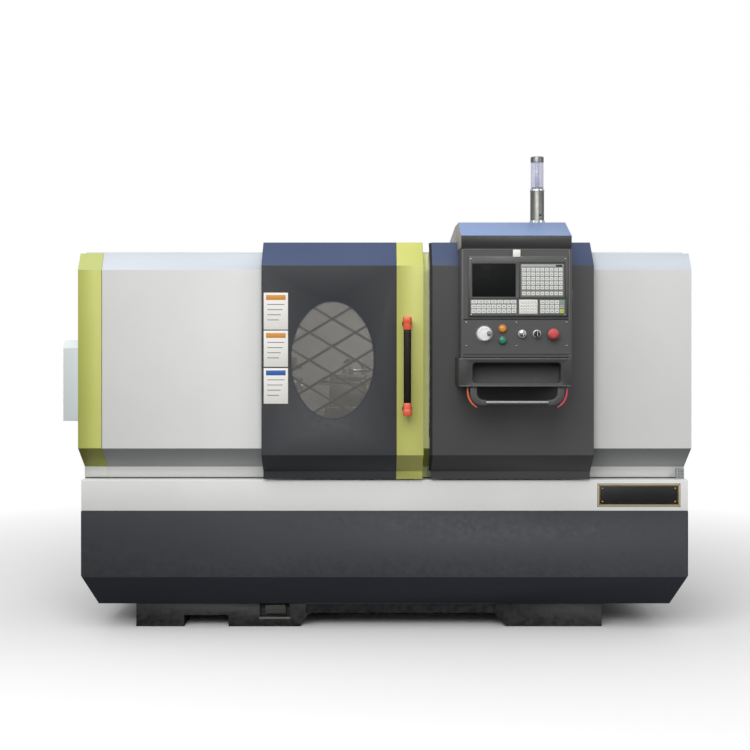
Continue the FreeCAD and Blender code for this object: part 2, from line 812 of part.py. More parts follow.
def anchor_holes(name, left, right):
    """Four blind holes up from the floor, near the corners of a pedestal."""
    holes = []
    for x in (left + d.anchor_inset, right - d.anchor_inset):
        for y in (d.base_y + d.slope_depth + d.anchor_inset, d.foot_rear - d.anchor_inset):
            spot = f"{name}_hole_{len(holes)}"
            holes.append(rod(spot, "z", -PAST, d.anchor_depth, (x, y), d.anchor_radius))
    return holes


def pedestals():
    """The two cast feet: the left one has a fork notch and a jacking pocket."""
    front = d.base_y + d.slope_depth
    left = along_y(
        "left_foot",
        [
            (d.ped_left, 0),
            (d.notch_left, 0),
            (d.notch_left, d.notch_top),
            (d.notch_right, d.notch_top),
            (d.notch_right, 0),
            (d.ped_right - d.toe_wide, 0),
            (d.ped_right - d.toe_side, d.toe_low),
            (d.ped_right, d.toe_high),
            (d.ped_right + d.ped_flare, d.beam_low),
            (d.ped_right + d.ped_flare, d.tub_low),
            (d.ped_left, d.tub_low),
        ],
        front,
        d.foot_rear,
    )
    pocket = block(
        "jack_pocket",
        (d.pocket_left, d.pocket_right),
        (front - 1, front + d.pocket_depth),
        (d.pocket_low, d.tub_low + 1),
    )
    holes = anchor_holes("left", d.ped_left, d.ped_right)
    keep("left_pedestal", cut("left_pedestal", left, pocket, *holes))
    right = along_y(
        "right_foot",
        [
            (d.foot_left, 0),
            (d.foot_right, 0),
            (d.foot_right, d.tub_low),
            (d.beam_end, d.tub_low),
            (d.beam_end, d.beam_low),
        ],
        front,
        d.foot_rear,
    )
    holes = anchor_holes("right", d.foot_left, d.foot_right)
    keep("right_pedestal", cut("right_pedestal", right, *holes))


# --------------------------------------------------------------------------
# Bed, headstock and drives
# --------------------------------------------------------------------------
def bed():
    """The cast bed: two ways, ribs between, lugs for the long screw in front."""
    half = d.bed_half
    wall = d.bed_wall
    low = bed_low()
    inside = d.bed_top - d.way_high
    channel = along_x(
        "bed_channel",
        [
            (d.axis_y - half, low),
            (d.axis_y + half, low),
            (d.axis_y + half, d.bed_top),
            (d.axis_y + half - d.way_wide, d.bed_top),
            (d.axis_y + half - d.way_wide, inside),
            (d.axis_y + half - wall, inside),
            (d.axis_y + half - wall, low + wall),
            (d.axis_y - half + wall, low + wall),
            (d.axis_y - half + wall, inside),
            (d.axis_y - half + d.way_wide, inside),
            (d.axis_y - half + d.way_wide, d.bed_top),
            (d.axis_y - half, d.bed_top),
        ],
        d.bed_left,
        d.bed_right,
    )
    pieces = [channel]
    for i in range(RIBS):
        x = d.bed_left + (d.bed_right - d.bed_left - wall) * (i / (RIBS - 1))
        pieces.append(
            block(
                f"bed_rib_{i}",
                (x, x + wall),
                (d.axis_y - half + wall, d.axis_y + half - wall),
                (low + wall, inside),
            )
        )
    for name, left in (("left", d.lug_left), ("right", d.lug_right)):
        lug = block(
            f"{name}_lug",
            (left, left + d.lug_wide),
            (d.screw_y - d.lug_half, d.axis_y - half),
            (d.screw_z - d.lug_half, d.screw_z + d.lug_half),
        )
        pieces.append(lug)
    bore = rod(
        "screw_bore",
        "x",
        d.lug_left - 1,
        d.lug_right + d.lug_wide + 1,
        (d.screw_y, d.screw_z),
        d.screw_radius + d.run_play,
    )
    keep("bed", cut("bed", fuse("bed_casting", *pieces), bore))


def headstock():
    """The headstock casting with its two bearings, spindle, pulley and belt drive."""
    wall = d.head_wall
    half = d.head_half
    axis = (d.axis_y, d.axis_z)
    outer = block(
        "head_out",
        (d.head_left, d.head_right),
        (d.axis_y - half, d.axis_y + half),
        (d.bed_top, d.head_top),
    )
    rounded = soften("head_round", outer, d.head_round, is_head_top_edge)
    inner = block(
        "head_in",
        (d.head_left + d.bearing_long, d.head_right - d.bearing_long),
        (d.axis_y - half + wall, d.axis_y + half - wall),
        (d.bed_top + wall, d.head_top - wall),
    )
    bore = rod("head_bore", "x", d.head_left - 1, d.head_right + 1, axis, d.bearing_radius)
    keep("headstock", cut("headstock", rounded, inner, bore))
    journal = d.journal_radius + d.run_play
    rear = ring(
        "rear_bearing",
        "x",
        d.head_left,
        d.head_left + d.bearing_long,
        axis,
        d.bearing_radius,
        journal,
    )
    front = ring(
        "front_bearing",
        "x",
        d.head_right - d.bearing_long,
        d.head_right,
        axis,
        d.bearing_radius,
        journal,
    )
    keep("spindle_bearings", fuse("spindle_bearings", rear, front))


def is_head_top_edge(edge):
    """True for the two long top edges of the headstock."""
    return runs_along(edge, "x") and edge.Vertexes[0].Z > d.axis_z.value


def spindle():
    """The spindle, its pulley and the chuck with three jaws."""
    axis = (d.axis_y, d.axis_z)
    shaft = rod("spindle_shaft", "x", d.spindle_left, d.nose_x, axis, d.journal_radius)
    nose = rod("spindle_nose", "x", d.nose_x - d.nose_thick, d.nose_x, axis, d.nose_radius)
    bore = rod("spindle_bore", "x", d.spindle_left - 1, d.nose_x + 1, axis, d.bore_radius)
    keep("spindle", cut("spindle", fuse("spindle_blank", shaft, nose), bore))
    pulley = ring(
        "spindle_pulley",
        "x",
        d.pulley_left,
        d.pulley_left + d.pulley_wide,
        axis,
        d.pulley_radius,
        d.journal_radius,
    )
    keep("spindle_pulley", pulley)


def jaw_block(name, angle, wide, inner, outer, low, high):
    """A box that points out from the spindle axis at an angle, between radii and X limits."""
    turn = math.radians(angle)
    out_y, out_z = math.cos(turn), math.sin(turn)
    solid = doc.addObject("Part::Box", name)
    bind(solid, "Length", high - low)
    bind(solid, "Width", outer - inner)
    bind(solid, "Height", wide)
    # the box's width runs outward and its height across, so its corner lies half a width aside
    y = d.axis_y + inner * out_y + wide * (out_z / 2)
    z = d.axis_z + inner * out_z - wide * (out_y / 2)
    tilt = FreeCAD.Rotation(FreeCAD.Vector(1, 0, 0), angle)
    return place(solid, at_x(low), at_y(y), z, tilt)


def chuck():
    """The three-jaw chuck body and its jaws."""
    axis = (d.axis_y, d.axis_z)
    face = d.nose_x + d.chuck_thick
    body = ring("chuck_blank", "x", d.nose_x, face, axis, d.chuck_radius, d.bore_radius)
    bed_of_jaw = face - d.slot_deep
    slots = []
    for i, angle in enumerate(JAW_ANGLES):
        slots.append(
            jaw_block(
                f"jaw_slot_{i}",
                angle,
                d.jaw_wide + d.jaw_play * 2,
                d.bore_radius + d.slot_start,
                d.chuck_radius + d.slot_over,
                bed_of_jaw,
                face + 1,
            )
        )
        foot = jaw_block(
            f"jaw_foot_{i}",
            angle,
            d.jaw_wide,
            d.jaw_inner,
            d.jaw_inner + d.jaw_long,
            bed_of_jaw + d.jaw_play,
            face + d.jaw_out / 2,
        )
        step = jaw_block(
            f"jaw_step_{i}",
            angle,
            d.jaw_wide,
            d.jaw_inner,
            d.jaw_inner + d.jaw_long / 2,
            face,
            face + d.jaw_out,
        )
        keep(f"jaw_{i + 1}", fuse(f"jaw_{i + 1}", foot, step))
    keep("chuck", cut("chuck", body, *slots))


def main_motor():
    """The spindle motor on its stand, and its shaft with the small pulley."""
    axis = (d.motor_y, d.motor_z)
    half = d.motor_half
    frame = block(
        "motor_frame",
        (d.motor_left, d.motor_right),
        (d.motor_y - half, d.motor_y + half),
        (d.motor_z - half, d.motor_z + half),
    )
    stand = block(
        "motor_stand",
        (d.motor_left + d.stand_inset, d.motor_right),
        (d.motor_y - half, d.motor_y + half),
        (bed_low(), d.motor_z - half),
    )
    bore_end = d.motor_left + d.shaft_seat
    bore = rod("motor_bore", "x", d.motor_left - 1, bore_end, axis, d.shaft_radius + d.run_play)
    keep("main_motor", cut("main_motor", fuse("motor_body", frame, stand), bore))
    start = d.pulley_left - d.shaft_over
    shaft = rod("motor_shaft", "x", start, bore_end - d.shaft_gap, axis, d.shaft_radius)
    pulley = ring(
        "motor_pulley",
        "x",
        d.pulley_left,
        d.pulley_left + d.pulley_wide,
        axis,
        d.small_pulley,
        d.shaft_radius,
    )
    keep("motor_rotor", fuse("motor_rotor", shaft, pulley))


def belt_loop(name, grown, left, right):
    """The filled outline round both pulleys, grown by a distance."""
    reach_y = d.motor_y - d.axis_y
    drop = d.axis_z - d.motor_z
    length = square_root(reach_y * reach_y + drop * drop)
    slope = arc_tangent(drop / reach_y)
    lean = arc_sine((d.pulley_radius - d.small_pulley) / length)
    large = d.pulley_radius + grown
    small = d.small_pulley + grown
    corners = []
    for side in (1, -1):
        # the way from each centre to where the straight run leaves its pulley
        angle = (90 - lean) * side - slope
        tangent = [
            (d.axis_y + large * cosine(angle), d.axis_z + large * sine(angle)),
            (d.motor_y + small * cosine(angle), d.motor_z + small * sine(angle)),
        ]
        corners.extend(tangent if side == 1 else reversed(tangent))
    runs = along_x(name + "_runs", corners, left, right)
    head = rod(name + "_head", "x", left, right, (d.axis_y, d.axis_z), large)
    foot = rod(name + "_foot", "x", left, right, (d.motor_y, d.motor_z), small)
    return fuse(name, runs, head, foot)


def drive_belt():
    """The belt round both pulleys."""
    left = d.pulley_left + d.belt_inset
    right = d.pulley_left + d.pulley_wide - d.belt_inset
    outer = belt_loop("belt_out", d.belt_play + d.belt_thick, left, right)
    inner = belt_loop("belt_in", d.belt_play, left - 1, right + 1)
    keep("drive_belt", cut("drive_belt", outer, inner))


def long_screw():
    """The ball screw along the bed and its servo motor."""
    axis = (d.screw_y, d.screw_z)
    start = d.lug_left - d.screw_over
    motor_x = d.lug_right + d.lug_wide
    screw = rod("z_screw", "x", start, motor_x + d.screw_seat, axis, d.screw_radius)
    keep("z_screw", screw)
    half = d.servo_half
    body = block(
        "z_servo_body",
        (motor_x, motor_x + d.servo_long),
        (d.screw_y - half, d.screw_y + half),
        (d.screw_z - half, d.screw_z + half),
    )
    bore_end = motor_x + d.servo_bore
    bore = rod("z_servo_bore", "x", motor_x - 1, bore_end, axis, d.screw_radius + d.run_play)
    keep("z_servo", cut("z_servo", body, bore))


# --------------------------------------------------------------------------
# Carriage and tailstock
# --------------------------------------------------------------------------
def saddle_rear():
    """The rear face of the saddle, where the cross servo is bolted on."""
    return d.axis_y + d.bed_half + d.saddle_over


def saddle():
    """The saddle with its apron nut and the channel for the cross screw."""
    low = d.bed_top + d.slide_gap
    top = low + d.saddle_high
    half = d.saddle_half
    apron_rear = d.axis_y - d.bed_half - d.slide_gap
    slab = block(
        "saddle_slab",
        (d.tool_x - half, d.tool_x + half),
        (d.screw_y - d.lug_half, saddle_rear()),
        (low, top),
    )
    apron = block(
        "saddle_apron",
        (d.tool_x - half / 2, d.tool_x + half / 2),
        (d.screw_y - d.lug_half, apron_rear),
        (d.screw_z - d.lug_half, low),
    )
    nut_bore = rod(
        "saddle_nut",
        "x",
        d.tool_x - half,
        d.tool_x + half,
        (d.screw_y, d.screw_z),
        d.screw_radius + d.belt_play,
    )
    channel = block(
        "saddle_channel",
        (d.tool_x - d.channel_half, d.tool_x + d.channel_half),
        (d.slide_front + d.channel_start, d.axis_y + d.bed_half - d.channel_end),
        (low + d.channel_floor, top + 1),
    )
    bore = rod(
        "saddle_bore",
        "y",
        d.screw_y - d.lug_half + d.cross_seat,
        saddle_rear() + 1,
        (d.tool_x, d.cross_z),
        d.cross_radius + d.run_play,
    )
    keep("saddle", cut("saddle", fuse("saddle_blank", slab, apron), nut_bore, channel, bore))


def cross_drive():
    """The cross screw and the servo motor behind the saddle."""
    rear = saddle_rear()
    axis = (d.tool_x, d.cross_z)
    front = d.screw_y - d.lug_half + d.cross_start
    keep("x_screw", rod("x_screw", "y", front, rear + d.screw_seat, axis, d.cross_radius))
    half = d.cross_servo_half
    body = block(
        "x_servo_body",
        (d.tool_x - half, d.tool_x + half),
        (rear, rear + d.cross_servo_long),
        (d.cross_z - half, d.cross_z + half),
    )
    bore_end = rear + d.servo_bore
    bore = rod("x_servo_bore", "y", rear - 1, bore_end, axis, d.cross_radius + d.run_play)
    keep("x_servo", cut("x_servo", body, bore))


def slide_low():
    """The height of the cross slide's underside."""
    return d.bed_top + d.saddle_high + d.slide_gap * 2


def cross_slide():
    """The cross slide with its nut block hanging in the saddle's channel."""
    low = slide_low()
    slab = block(
        "slide_slab",
        (d.tool_x - d.slide_half, d.tool_x + d.slide_half),
        (d.slide_front, d.slide_rear),
        (low, low + d.slide_high),
    )
    nut = block(
        "slide_nut",
        (d.tool_x - d.nut_half, d.tool_x + d.nut_half),
        (d.slide_front + d.nut_start, d.slide_front + d.nut_end),
        (low - d.nut_drop, low),
    )
    bore = rod(
        "slide_bore",
        "y",
        d.slide_front + d.nut_start - 1,
        d.slide_front + d.nut_end + 1,
        (d.tool_x, d.cross_z),
        d.cross_radius + d.belt_play,
    )
    keep("cross_slide", cut("cross_slide", fuse("slide_blank", slab, nut), bore))


def tool_post():
    """The four-way tool post and its four turning tools."""
    half = d.post_half
    low = slide_low() + d.slide_high + d.slide_gap
    grip = d.axis_z - d.tool_side
    block_body = block(
        "post_block",
        (d.tool_x - half, d.tool_x + half),
        (d.tool_y - half, d.tool_y + half),
        (low, low + d.post_high + d.tool_side),
    )
    side = d.tool_side
    x, y = d.tool_x, d.tool_y
    reach = half + d.tool_reach
    shanks = (
        ((x - half, x - half + side), (y - half + d.tool_inset, y + reach)),
        ((x - half + d.tool_inset, x + reach), (y + half - side, y + half)),
        ((x + half - side, x + half), (y - reach, y + half - d.tool_inset)),
        ((x - reach, x + half - d.tool_inset), (y - half, y - half + side)),
    )
    slots = (
        ((x - half - 1, x - half + side), (y - half - 1, y + half + 1)),
        ((x - half - 1, x + half + 1), (y + half - side, y + half + 1)),
        ((x + half - side, x + half + 1), (y - half - 1, y + half + 1)),
        ((x - half - 1, x + half + 1), (y - half - 1, y - half + side)),
    )
    cuts = []
    tools = []
    for i, (span_x, span_y) in enumerate(slots):
        cuts.append(block(f"post_slot_{i}", span_x, span_y, (grip, d.axis_z)))
    for i, (span_x, span_y) in enumerate(shanks):
        tools.append(block(f"tool_{i}", span_x, span_y, (grip, d.axis_z)))
    top = low + d.post_high + side
    screws = []
    for i, dx in enumerate((-1, 1)):
        for j, dy in enumerate((-1, 1)):
            spot = (x + (half - side / 2) * dx, y + (half - side / 2) * dy)
            name = f"post_screw_{i}{j}"
            screws.append(rod(name, "z", top, top + d.clamp_high, spot, d.clamp_radius))
    boss = rod("post_boss", "z", top, top + d.boss_high, (x, y), d.boss_radius)
    level = top + d.lever_up
    lever = rod("post_lever", "x", x, x + d.lever_long, (y, level), d.lever_radius)
    slotted = cut("post_slotted", block_body, *cuts)
    keep("tool_post", fuse("tool_post", slotted, boss, lever, *screws))
    keep("turning_tools", fuse("turning_tools", *tools))


def tailstock():
    """The tailstock, its quill with the centre, and the handwheel."""
    axis = (d.axis_y, d.axis_z)
    left, right = d.tail_left, d.tail_right
    low = d.bed_top + d.slide_gap
    foot = block(
        "tail_foot",
        (left, right),
        (d.axis_y - d.tail_half, d.axis_y + d.tail_half),
        (low, low + d.tail_foot),
    )
    web = block(
        "tail_web",
        (left + d.web_left, right - d.web_right),
        (d.axis_y - d.tail_half / 2, d.axis_y + d.tail_half / 2),
        (low, d.axis_z),
    )
    barrel = rod("tail_barrel", "x", left, right, axis, d.quill_radius * 2)
    seat = d.quill_radius + d.run_play
    bore = rod("tail_bore", "x", left - 1, right - d.quill_stop, axis, seat)
    shaft_bore = rod("tail_shaft_bore", "x", left, right + 1, axis, d.stem_radius + d.run_play)
    body = fuse("tail_body", foot, web, barrel)
    keep("tailstock", cut("tailstock", body, bore, shaft_bore))
    nose = left - d.quill_out
    quill = rod("quill_bar", "x", nose, right - d.quill_short, axis, d.quill_radius)
    tip = nose - d.centre_long
    point = cone("quill_point", "x", tip, nose, axis, d.centre_tip, d.centre_radius)
    keep("quill", fuse("quill", quill, point))
    keep("hand_wheel", hand_wheel(axis, right))


def hand_wheel(axis, right):
    """The handwheel: rim, disc, hub, shaft and crank grip."""
    start = right + d.wheel_gap
    inner = d.wheel_radius - d.rim_thick
    rim = ring("wheel_rim", "x", start, start + d.wheel_wide, axis, d.wheel_radius, inner)
    disc = rod("wheel_web", "x", start + d.spoke_start, start + d.spoke_end, axis, inner)
    hub = rod("wheel_hub", "x", start, start + d.hub_long, axis, d.hub_radius)
    shaft = rod("wheel_shaft", "x", right - d.wheel_seat, start, axis, d.stem_radius)
    spot = (d.axis_y, d.axis_z + d.wheel_radius - d.rim_thick / 2)
    left = start + d.crank_start
    grip = rod("wheel_grip", "x", left, left + d.crank_long, spot, d.crank_radius)
    return fuse("hand_wheel", rim, disc, hub, shaft, grip)


# --------------------------------------------------------------------------
# Fixed enclosure
# --------------------------------------------------------------------------
def fixed_outline(bottom=False, top=False):
    """The folded outline of a fixed front sheet: whole, or its bottom or top part."""
    t = d.sheet
    lip = d.fix_top_y + d.fold_lip
    foot = [(d.fix_toe_y, d.tray_top), (d.fix_toe_y, d.fix_toe_z), (0, d.fix_sill_z)]
    head = [(0, d.fix_brow_z), (d.fix_top_y, d.fix_top_z), (lip, d.fix_top_z)]
    head_in = [(lip, d.fix_top_z - t), (d.fix_top_y + t, d.fix_top_z - t), (t, d.fix_brow_z)]
    foot_in = [
        (t, d.fix_sill_z),
        (d.fix_toe_y + t, d.fix_toe_z),
        (d.fix_toe_y + t, d.tray_top),
    ]
    if bottom:
        return foot + [(0, d.sill_top), (t, d.sill_top)] + foot_in
    if top:
        return [(0, d.lintel_low)] + head + head_in + [(t, d.lintel_low)]
    return foot + head + head_in + foot_in


def cheek(name, left, right):
    """An end plate that closes a fixed front sheet and turns the corner."""
    return along_x(
        name,
        [
            (d.fix_toe_y, d.tray_top),
            (d.fix_toe_y, d.fix_toe_z),
            (0, d.fix_sill_z),
            (0, d.fix_brow_z),
            (d.fix_top_y, d.fix_top_z),
            (d.cheek_rear, d.fix_top_z),
            (d.cheek_rear, d.tray_top),
        ],
        left,
        right,
    )


def front_sheets():
    """The end trim, the white sheets, the frame of the openings and the centre post."""
    t = d.sheet
    wide = d.half_width
    trim = along_x("trim_front", fixed_outline(), -wide, d.trim_width - wide)
    keep("end_trim", fuse("end_trim", trim, cheek("trim_cheek", -wide, t - wide)))
    left = along_x("left_front", fixed_outline(), d.trim_width - wide, d.open_left)
    fold = block(
        "left_fold",
        (d.open_left - t, d.open_left),
        (t, d.fix_top_y),
        (d.fix_sill_z, d.fix_brow_z),
    )
    keep("left_panel", fuse("left_panel", left, fold))
    right = along_x("right_front", fixed_outline(), d.open_right, wide)
    keep("right_panel", fuse("right_panel", right, cheek("right_cheek", wide - t, wide)))
    keep("centre_post", along_x("centre_post", fixed_outline(), d.post_left, d.post_right))
    spans = ((d.open_left, d.post_left), (d.post_right, d.open_right))
    lintels = []
    sills = []
    for i, (start, end) in enumerate(spans):
        lintels.append(along_x(f"lintel_{i}", fixed_outline(top=True), start, end))
        sills.append(along_x(f"sill_{i}", fixed_outline(bottom=True), start, end))
    keep("opening_frame", fuse("opening_frame", *lintels, *sills))


def rear_shell():
    """The sides and rear of the enclosure as one folded shell, with a hole for bar stock."""
    t = d.sheet
    wide = d.half_width
    outer = block("shell_out", (-wide, wide), (d.cheek_rear, d.rear_y), (d.tray_top, d.fix_top_z))
    inner = block(
        "shell_in",
        (t - wide, wide - t),
        (d.cheek_rear - 1, d.rear_y - t),
        (d.tray_top - 1, d.fix_top_z + 1),
    )
    hole = rod("shell_hole", "x", -wide - 1, t - wide + 1, (d.axis_y, d.axis_z), d.stock_hole)
    keep("rear_shell", cut("rear_shell", outer, inner, hole))


def roof():
    """The roof sheet between the side sheets, with the rail the guards hang on."""
    t = d.sheet
    wide = d.half_width
    front = d.fix_top_y + d.fold_lip
    sheet_top = block(
        "roof_sheet", (t - wide, wide - t), (front, d.rear_y - t), (d.fix_top_z - t, d.fix_top_z)
    )
    rail = block(
        "rail_web",
        (d.rail_end - wide, wide - d.rail_end),
        (d.track_y, d.track_y + d.track_thick),
        (d.fix_top_z, d.rail_top),
    )
    keep("roof", fuse("roof", sheet_top, rail))


def partition():
    """The sheet between headstock and work zone, cut out round bed and spindle nose."""
    left = d.head_right + 1
    sheet_cut = block(
        "wall_sheet",
        (left, left + d.sheet),
        (d.fix_toe_y + d.sheet + d.wall_gap, d.rear_y - d.sheet),
        (d.tray_top, d.fix_top_z - d.sheet),
    )
    bed_gap = block(
        "wall_bed_gap",
        (left - 1, left + d.sheet + 1),
        (d.axis_y - d.bed_half - d.wall_gap, d.axis_y + d.bed_half + d.wall_gap),
        (d.tray_top - 1, d.bed_top + d.wall_gap),
    )
    nose = rod(
        "wall_nose",
        "x",
        left - 1,
        left + d.sheet + 1,
        (d.axis_y, d.axis_z),
        d.nose_radius + d.nose_gap,
    )
    keep("partition", cut("partition", sheet_cut, bed_gap, nose))


def end_cover():
    """The box over the spindle's rear end, with a sloped top and a bar inlet."""
    t = d.sheet
    left = -(d.half_width + d.cover_len)
    bodies = []
    for name, inset, reach in (("out", NONE, NONE), ("in", t, PAST)):
        low, high = d.cover_low + inset, d.cover_high - inset
        front = d.axis_y - d.cover_half + inset
        rear = d.axis_y + d.cover_half - inset
        bodies.append(
            along_x(
                f"cover_{name}",
                [
                    (front, low),
                    (front, high - d.cover_slope),
                    (front + d.cover_slope, high),
                    (rear - d.cover_slope, high),
                    (rear, high - d.cover_slope),
                    (rear, low),
                ],
                left + inset,
                -d.half_width + reach,
            )
        )
    hole = rod("cover_hole", "x", left - 1, left + t + 1, (d.axis_y, d.axis_z), d.bar_hole)
    keep("end_cover", cut("end_cover", *bodies, hole))


# --------------------------------------------------------------------------
# Sliding door
# --------------------------------------------------------------------------
def moving_outline():
    """The folded outline of a sliding guard."""
    t = d.sheet
    y = -d.mov_out
    low = d.tray_top + d.mov_gap
    rear = d.mov_top_y
    hook = d.hook_y
    tip = d.mov_top_z - d.hook_drop
    return [
        (rear, low),
        (rear, d.mov_toe_z),
        (y, d.mov_sill_z),
        (y, d.mov_brow_z),
        (rear, d.mov_top_z),
        (hook, d.mov_top_z),
        (hook, tip),
        (hook - t, tip),
        (hook - t, d.mov_top_z - t),
        (rear + t, d.mov_top_z - t),
        (y + t, d.mov_brow_z),
        (y + t, d.mov_sill_z),
        (rear + t, d.mov_toe_z),
        (rear + t, low),
    ]


def end_return(name, left, right):
    """The folded-back end of a sliding guard."""
    y = -d.mov_out
    deep = d.mov_return
    return along_x(
        name,
        [
            (y, d.mov_sill_z),
            (y, d.mov_brow_z),
            (y + deep, d.mov_brow_z + deep),
            (y + deep, d.mov_sill_z - deep * d.return_slope),
        ],
        left,
        right,
    )


def shoes(name, left, right):
    """Nylon shoes under the lip that carry a guard on the rail."""
    blocks = []
    for i, x in enumerate((left, right)):
        for j, (front, rear) in enumerate(
            (
                (d.track_y - d.track_play - d.shoe_thick, d.track_y - d.track_play),
                (d.track_y + d.track_thick + d.track_play, d.hook_y - d.sheet),
            )
        ):
            blocks.append(
                block(
                    f"{name}_{i}{j}",
                    (x - d.shoe_half, x + d.shoe_half),
                    (front, rear),
                    (d.rail_top - d.shoe_grip, d.mov_top_z - d.sheet),
                )
            )
        blocks.append(
            block(
                f"{name}_top_{i}",
                (x - d.shoe_half, x + d.shoe_half),
                (d.track_y - d.track_play, d.track_y + d.track_thick + d.track_play),
                (d.rail_top + d.track_play / 2, d.mov_top_z - d.sheet),
            )
        )
    return blocks


def door():
    """The door: dark panel with an oval window, green stile, glass, grille and handle."""
    t = d.sheet
    y = -d.mov_out
    panel = along_x("door_sheet", moving_outline(), d.door_left, d.door_seam)
    opening = oval("door_opening", d.window_half_width, d.window_half_height, y - 1, y + t + 1)
    left_end = end_return("door_end", d.door_left, d.door_left + t)
    supports = shoes("door_shoe", d.door_left + d.shoe_inset, d.door_seam - d.shoe_inset)
    keep("door_panel", fuse("door_panel", cut("door_cut", panel, opening), left_end, *supports))
    stile = along_x("stile_sheet", moving_outline(), d.door_seam, d.door_right)
    right_end = end_return("stile_end", d.door_right - t, d.door_right)
    keep("door_stile", fuse("door_stile", stile, right_end))
    lap = d.glass_lap
    glass_rear = y + t + d.glass_thick
    wide, high = d.window_half_width + lap, d.window_half_height + lap
    keep("window_glass", oval("window_glass", wide, high, y + t, glass_rear))
    keep("window_grille", grille(wide, high, glass_rear))
    keep("door_handle", door_handle())


def grille(half_width, half_height, front):
    """A diamond lattice of flat bars inside the oval, behind the glass."""
    bars = []
    tilt = d.bar_tilt
    long = half_height * d.bar_reach
    for side in (1, -1):
        start = front if side == 1 else front + d.bar_thick
        for i in range(-BARS, BARS):
            bar = doc.addObject("Part::Box", f"bar_{'a' if side == 1 else 'b'}{i + BARS}")
            bind(bar, "Length", long)
            bind(bar, "Width", d.bar_thick)
            bind(bar, "Height", d.bar_wide)
            # the bar's middle lies on the window's upright middle line, between two crossings
            lift = d.bar_pitch / cosine(tilt) * (i + 0.5)
            half_long = long / 2
            half_wide = d.bar_wide / 2
            x = d.window_x - half_long * cosine(tilt) + half_wide * sine(tilt) * side
            z = d.window_z + lift - half_long * sine(tilt) * side - half_wide * cosine(tilt)
            turn = FreeCAD.Rotation(FreeCAD.Vector(0, -1, 0), SIZES["bar_tilt"][0] * side)
            bars.append(place(bar, at_x(x), at_y(start), z, turn))
    limit = oval("grille_limit", half_width, half_height, front, front + d.bar_thick * 2)
    thick = d.bar_thick * 2
    wide, high = half_width - d.rim_wide, half_height - d.rim_wide
    rim_hole = oval("grille_hole", wide, high, front - 1, front + thick + 1)
    rim_edge = oval("grille_edge", half_width, half_height, front, front + thick)
    rim = cut("grille_rim", rim_edge, rim_hole)
    return fuse("window_grille", common("grille_bars", fuse("grille_lattice", *bars), limit), rim)


def door_handle():
    """The upright pull bar on its two end pieces."""
    y = -(d.mov_out + d.grip_out)
    spot = (d.grip_x, y)
    low_end, high_end = d.grip_low + d.grip_end, d.grip_high - d.grip_end
    pieces = [rod("grip_bar", "z", low_end, high_end, spot, d.grip_radius)]
    for i, (low, high) in enumerate(((d.grip_low, low_end), (high_end, d.grip_high))):
        pieces.append(rod(f"grip_end_{i}", "z", low, high, spot, d.grip_radius + d.grip_cap))
        middle = (d.grip_x, (low + high) / 2)
        pieces.append(rod(f"grip_post_{i}", "y", y, -d.mov_out, middle, d.grip_post))
    return fuse("door_handle", *pieces)


# --------------------------------------------------------------------------
# Control guard
# --------------------------------------------------------------------------
def guard_cover():
    """The sliding guard in front of the tailstock."""
    t = d.sheet
    cover = along_x("guard_sheet", moving_outline(), d.guard_left, d.guard_right)
    left_end = end_return("guard_end_left", d.guard_left, d.guard_left + t)
    right_end = end_return("guard_end_right", d.guard_right - t, d.guard_right)
    supports = shoes("guard_shoe", d.guard_left + d.shoe_inset, d.guard_right - d.shoe_inset)
    keep("guard_cover", fuse("guard_cover", cover, left_end, right_end, *supports))


def hood():
    """The hood over the console and the guard's top: a shell open below."""
    t = d.sheet
    skirt = d.fix_top_z + d.hood_skirt
    lip = d.hook_y + d.hood_gap
    slope = d.mov_top_y + d.mov_out
    rise = d.mov_top_z - d.mov_brow_z
    meet_y = -d.mov_out + slope * (d.hood_front_low - d.mov_brow_z) / rise
    shape = [
        (-d.hood_out, d.hood_front_low),
        (-d.hood_out, d.hood_front_high),
        (d.hood_crest, d.hood_top),
        (d.hood_flat_end, d.hood_top),
        (d.hood_tail_y, d.hood_tail_z),
        (d.hood_end, d.mov_top_z),
        (d.hood_end, skirt),
        (lip, skirt),
        (lip, d.mov_top_z),
        (d.mov_top_y, d.mov_top_z),
        (meet_y, d.hood_front_low),
    ]
    outer = along_x("hood_out", shape, d.con_left, d.con_right)
    hollow = [
        (t - d.hood_out, d.hood_front_low + t),
        (t - d.hood_out, d.hood_front_high - t / 2),
        (d.hood_crest + t, d.hood_top - t),
        (d.hood_flat_end - t, d.hood_top - t),
        (d.hood_tail_y - t, d.hood_tail_z - t),
        (d.hood_end - t, d.mov_top_z),
        (d.hood_end - t, skirt - 1),
        (lip + t, skirt - 1),
        (lip + t, d.mov_top_z + t),
        (d.mov_top_y, d.mov_top_z + t),
        (meet_y, d.hood_front_low + t),
    ]
    inner = along_x("hood_in", hollow, d.con_left + t, d.con_right - t)
    keep("hood", cut("hood", outer, inner))


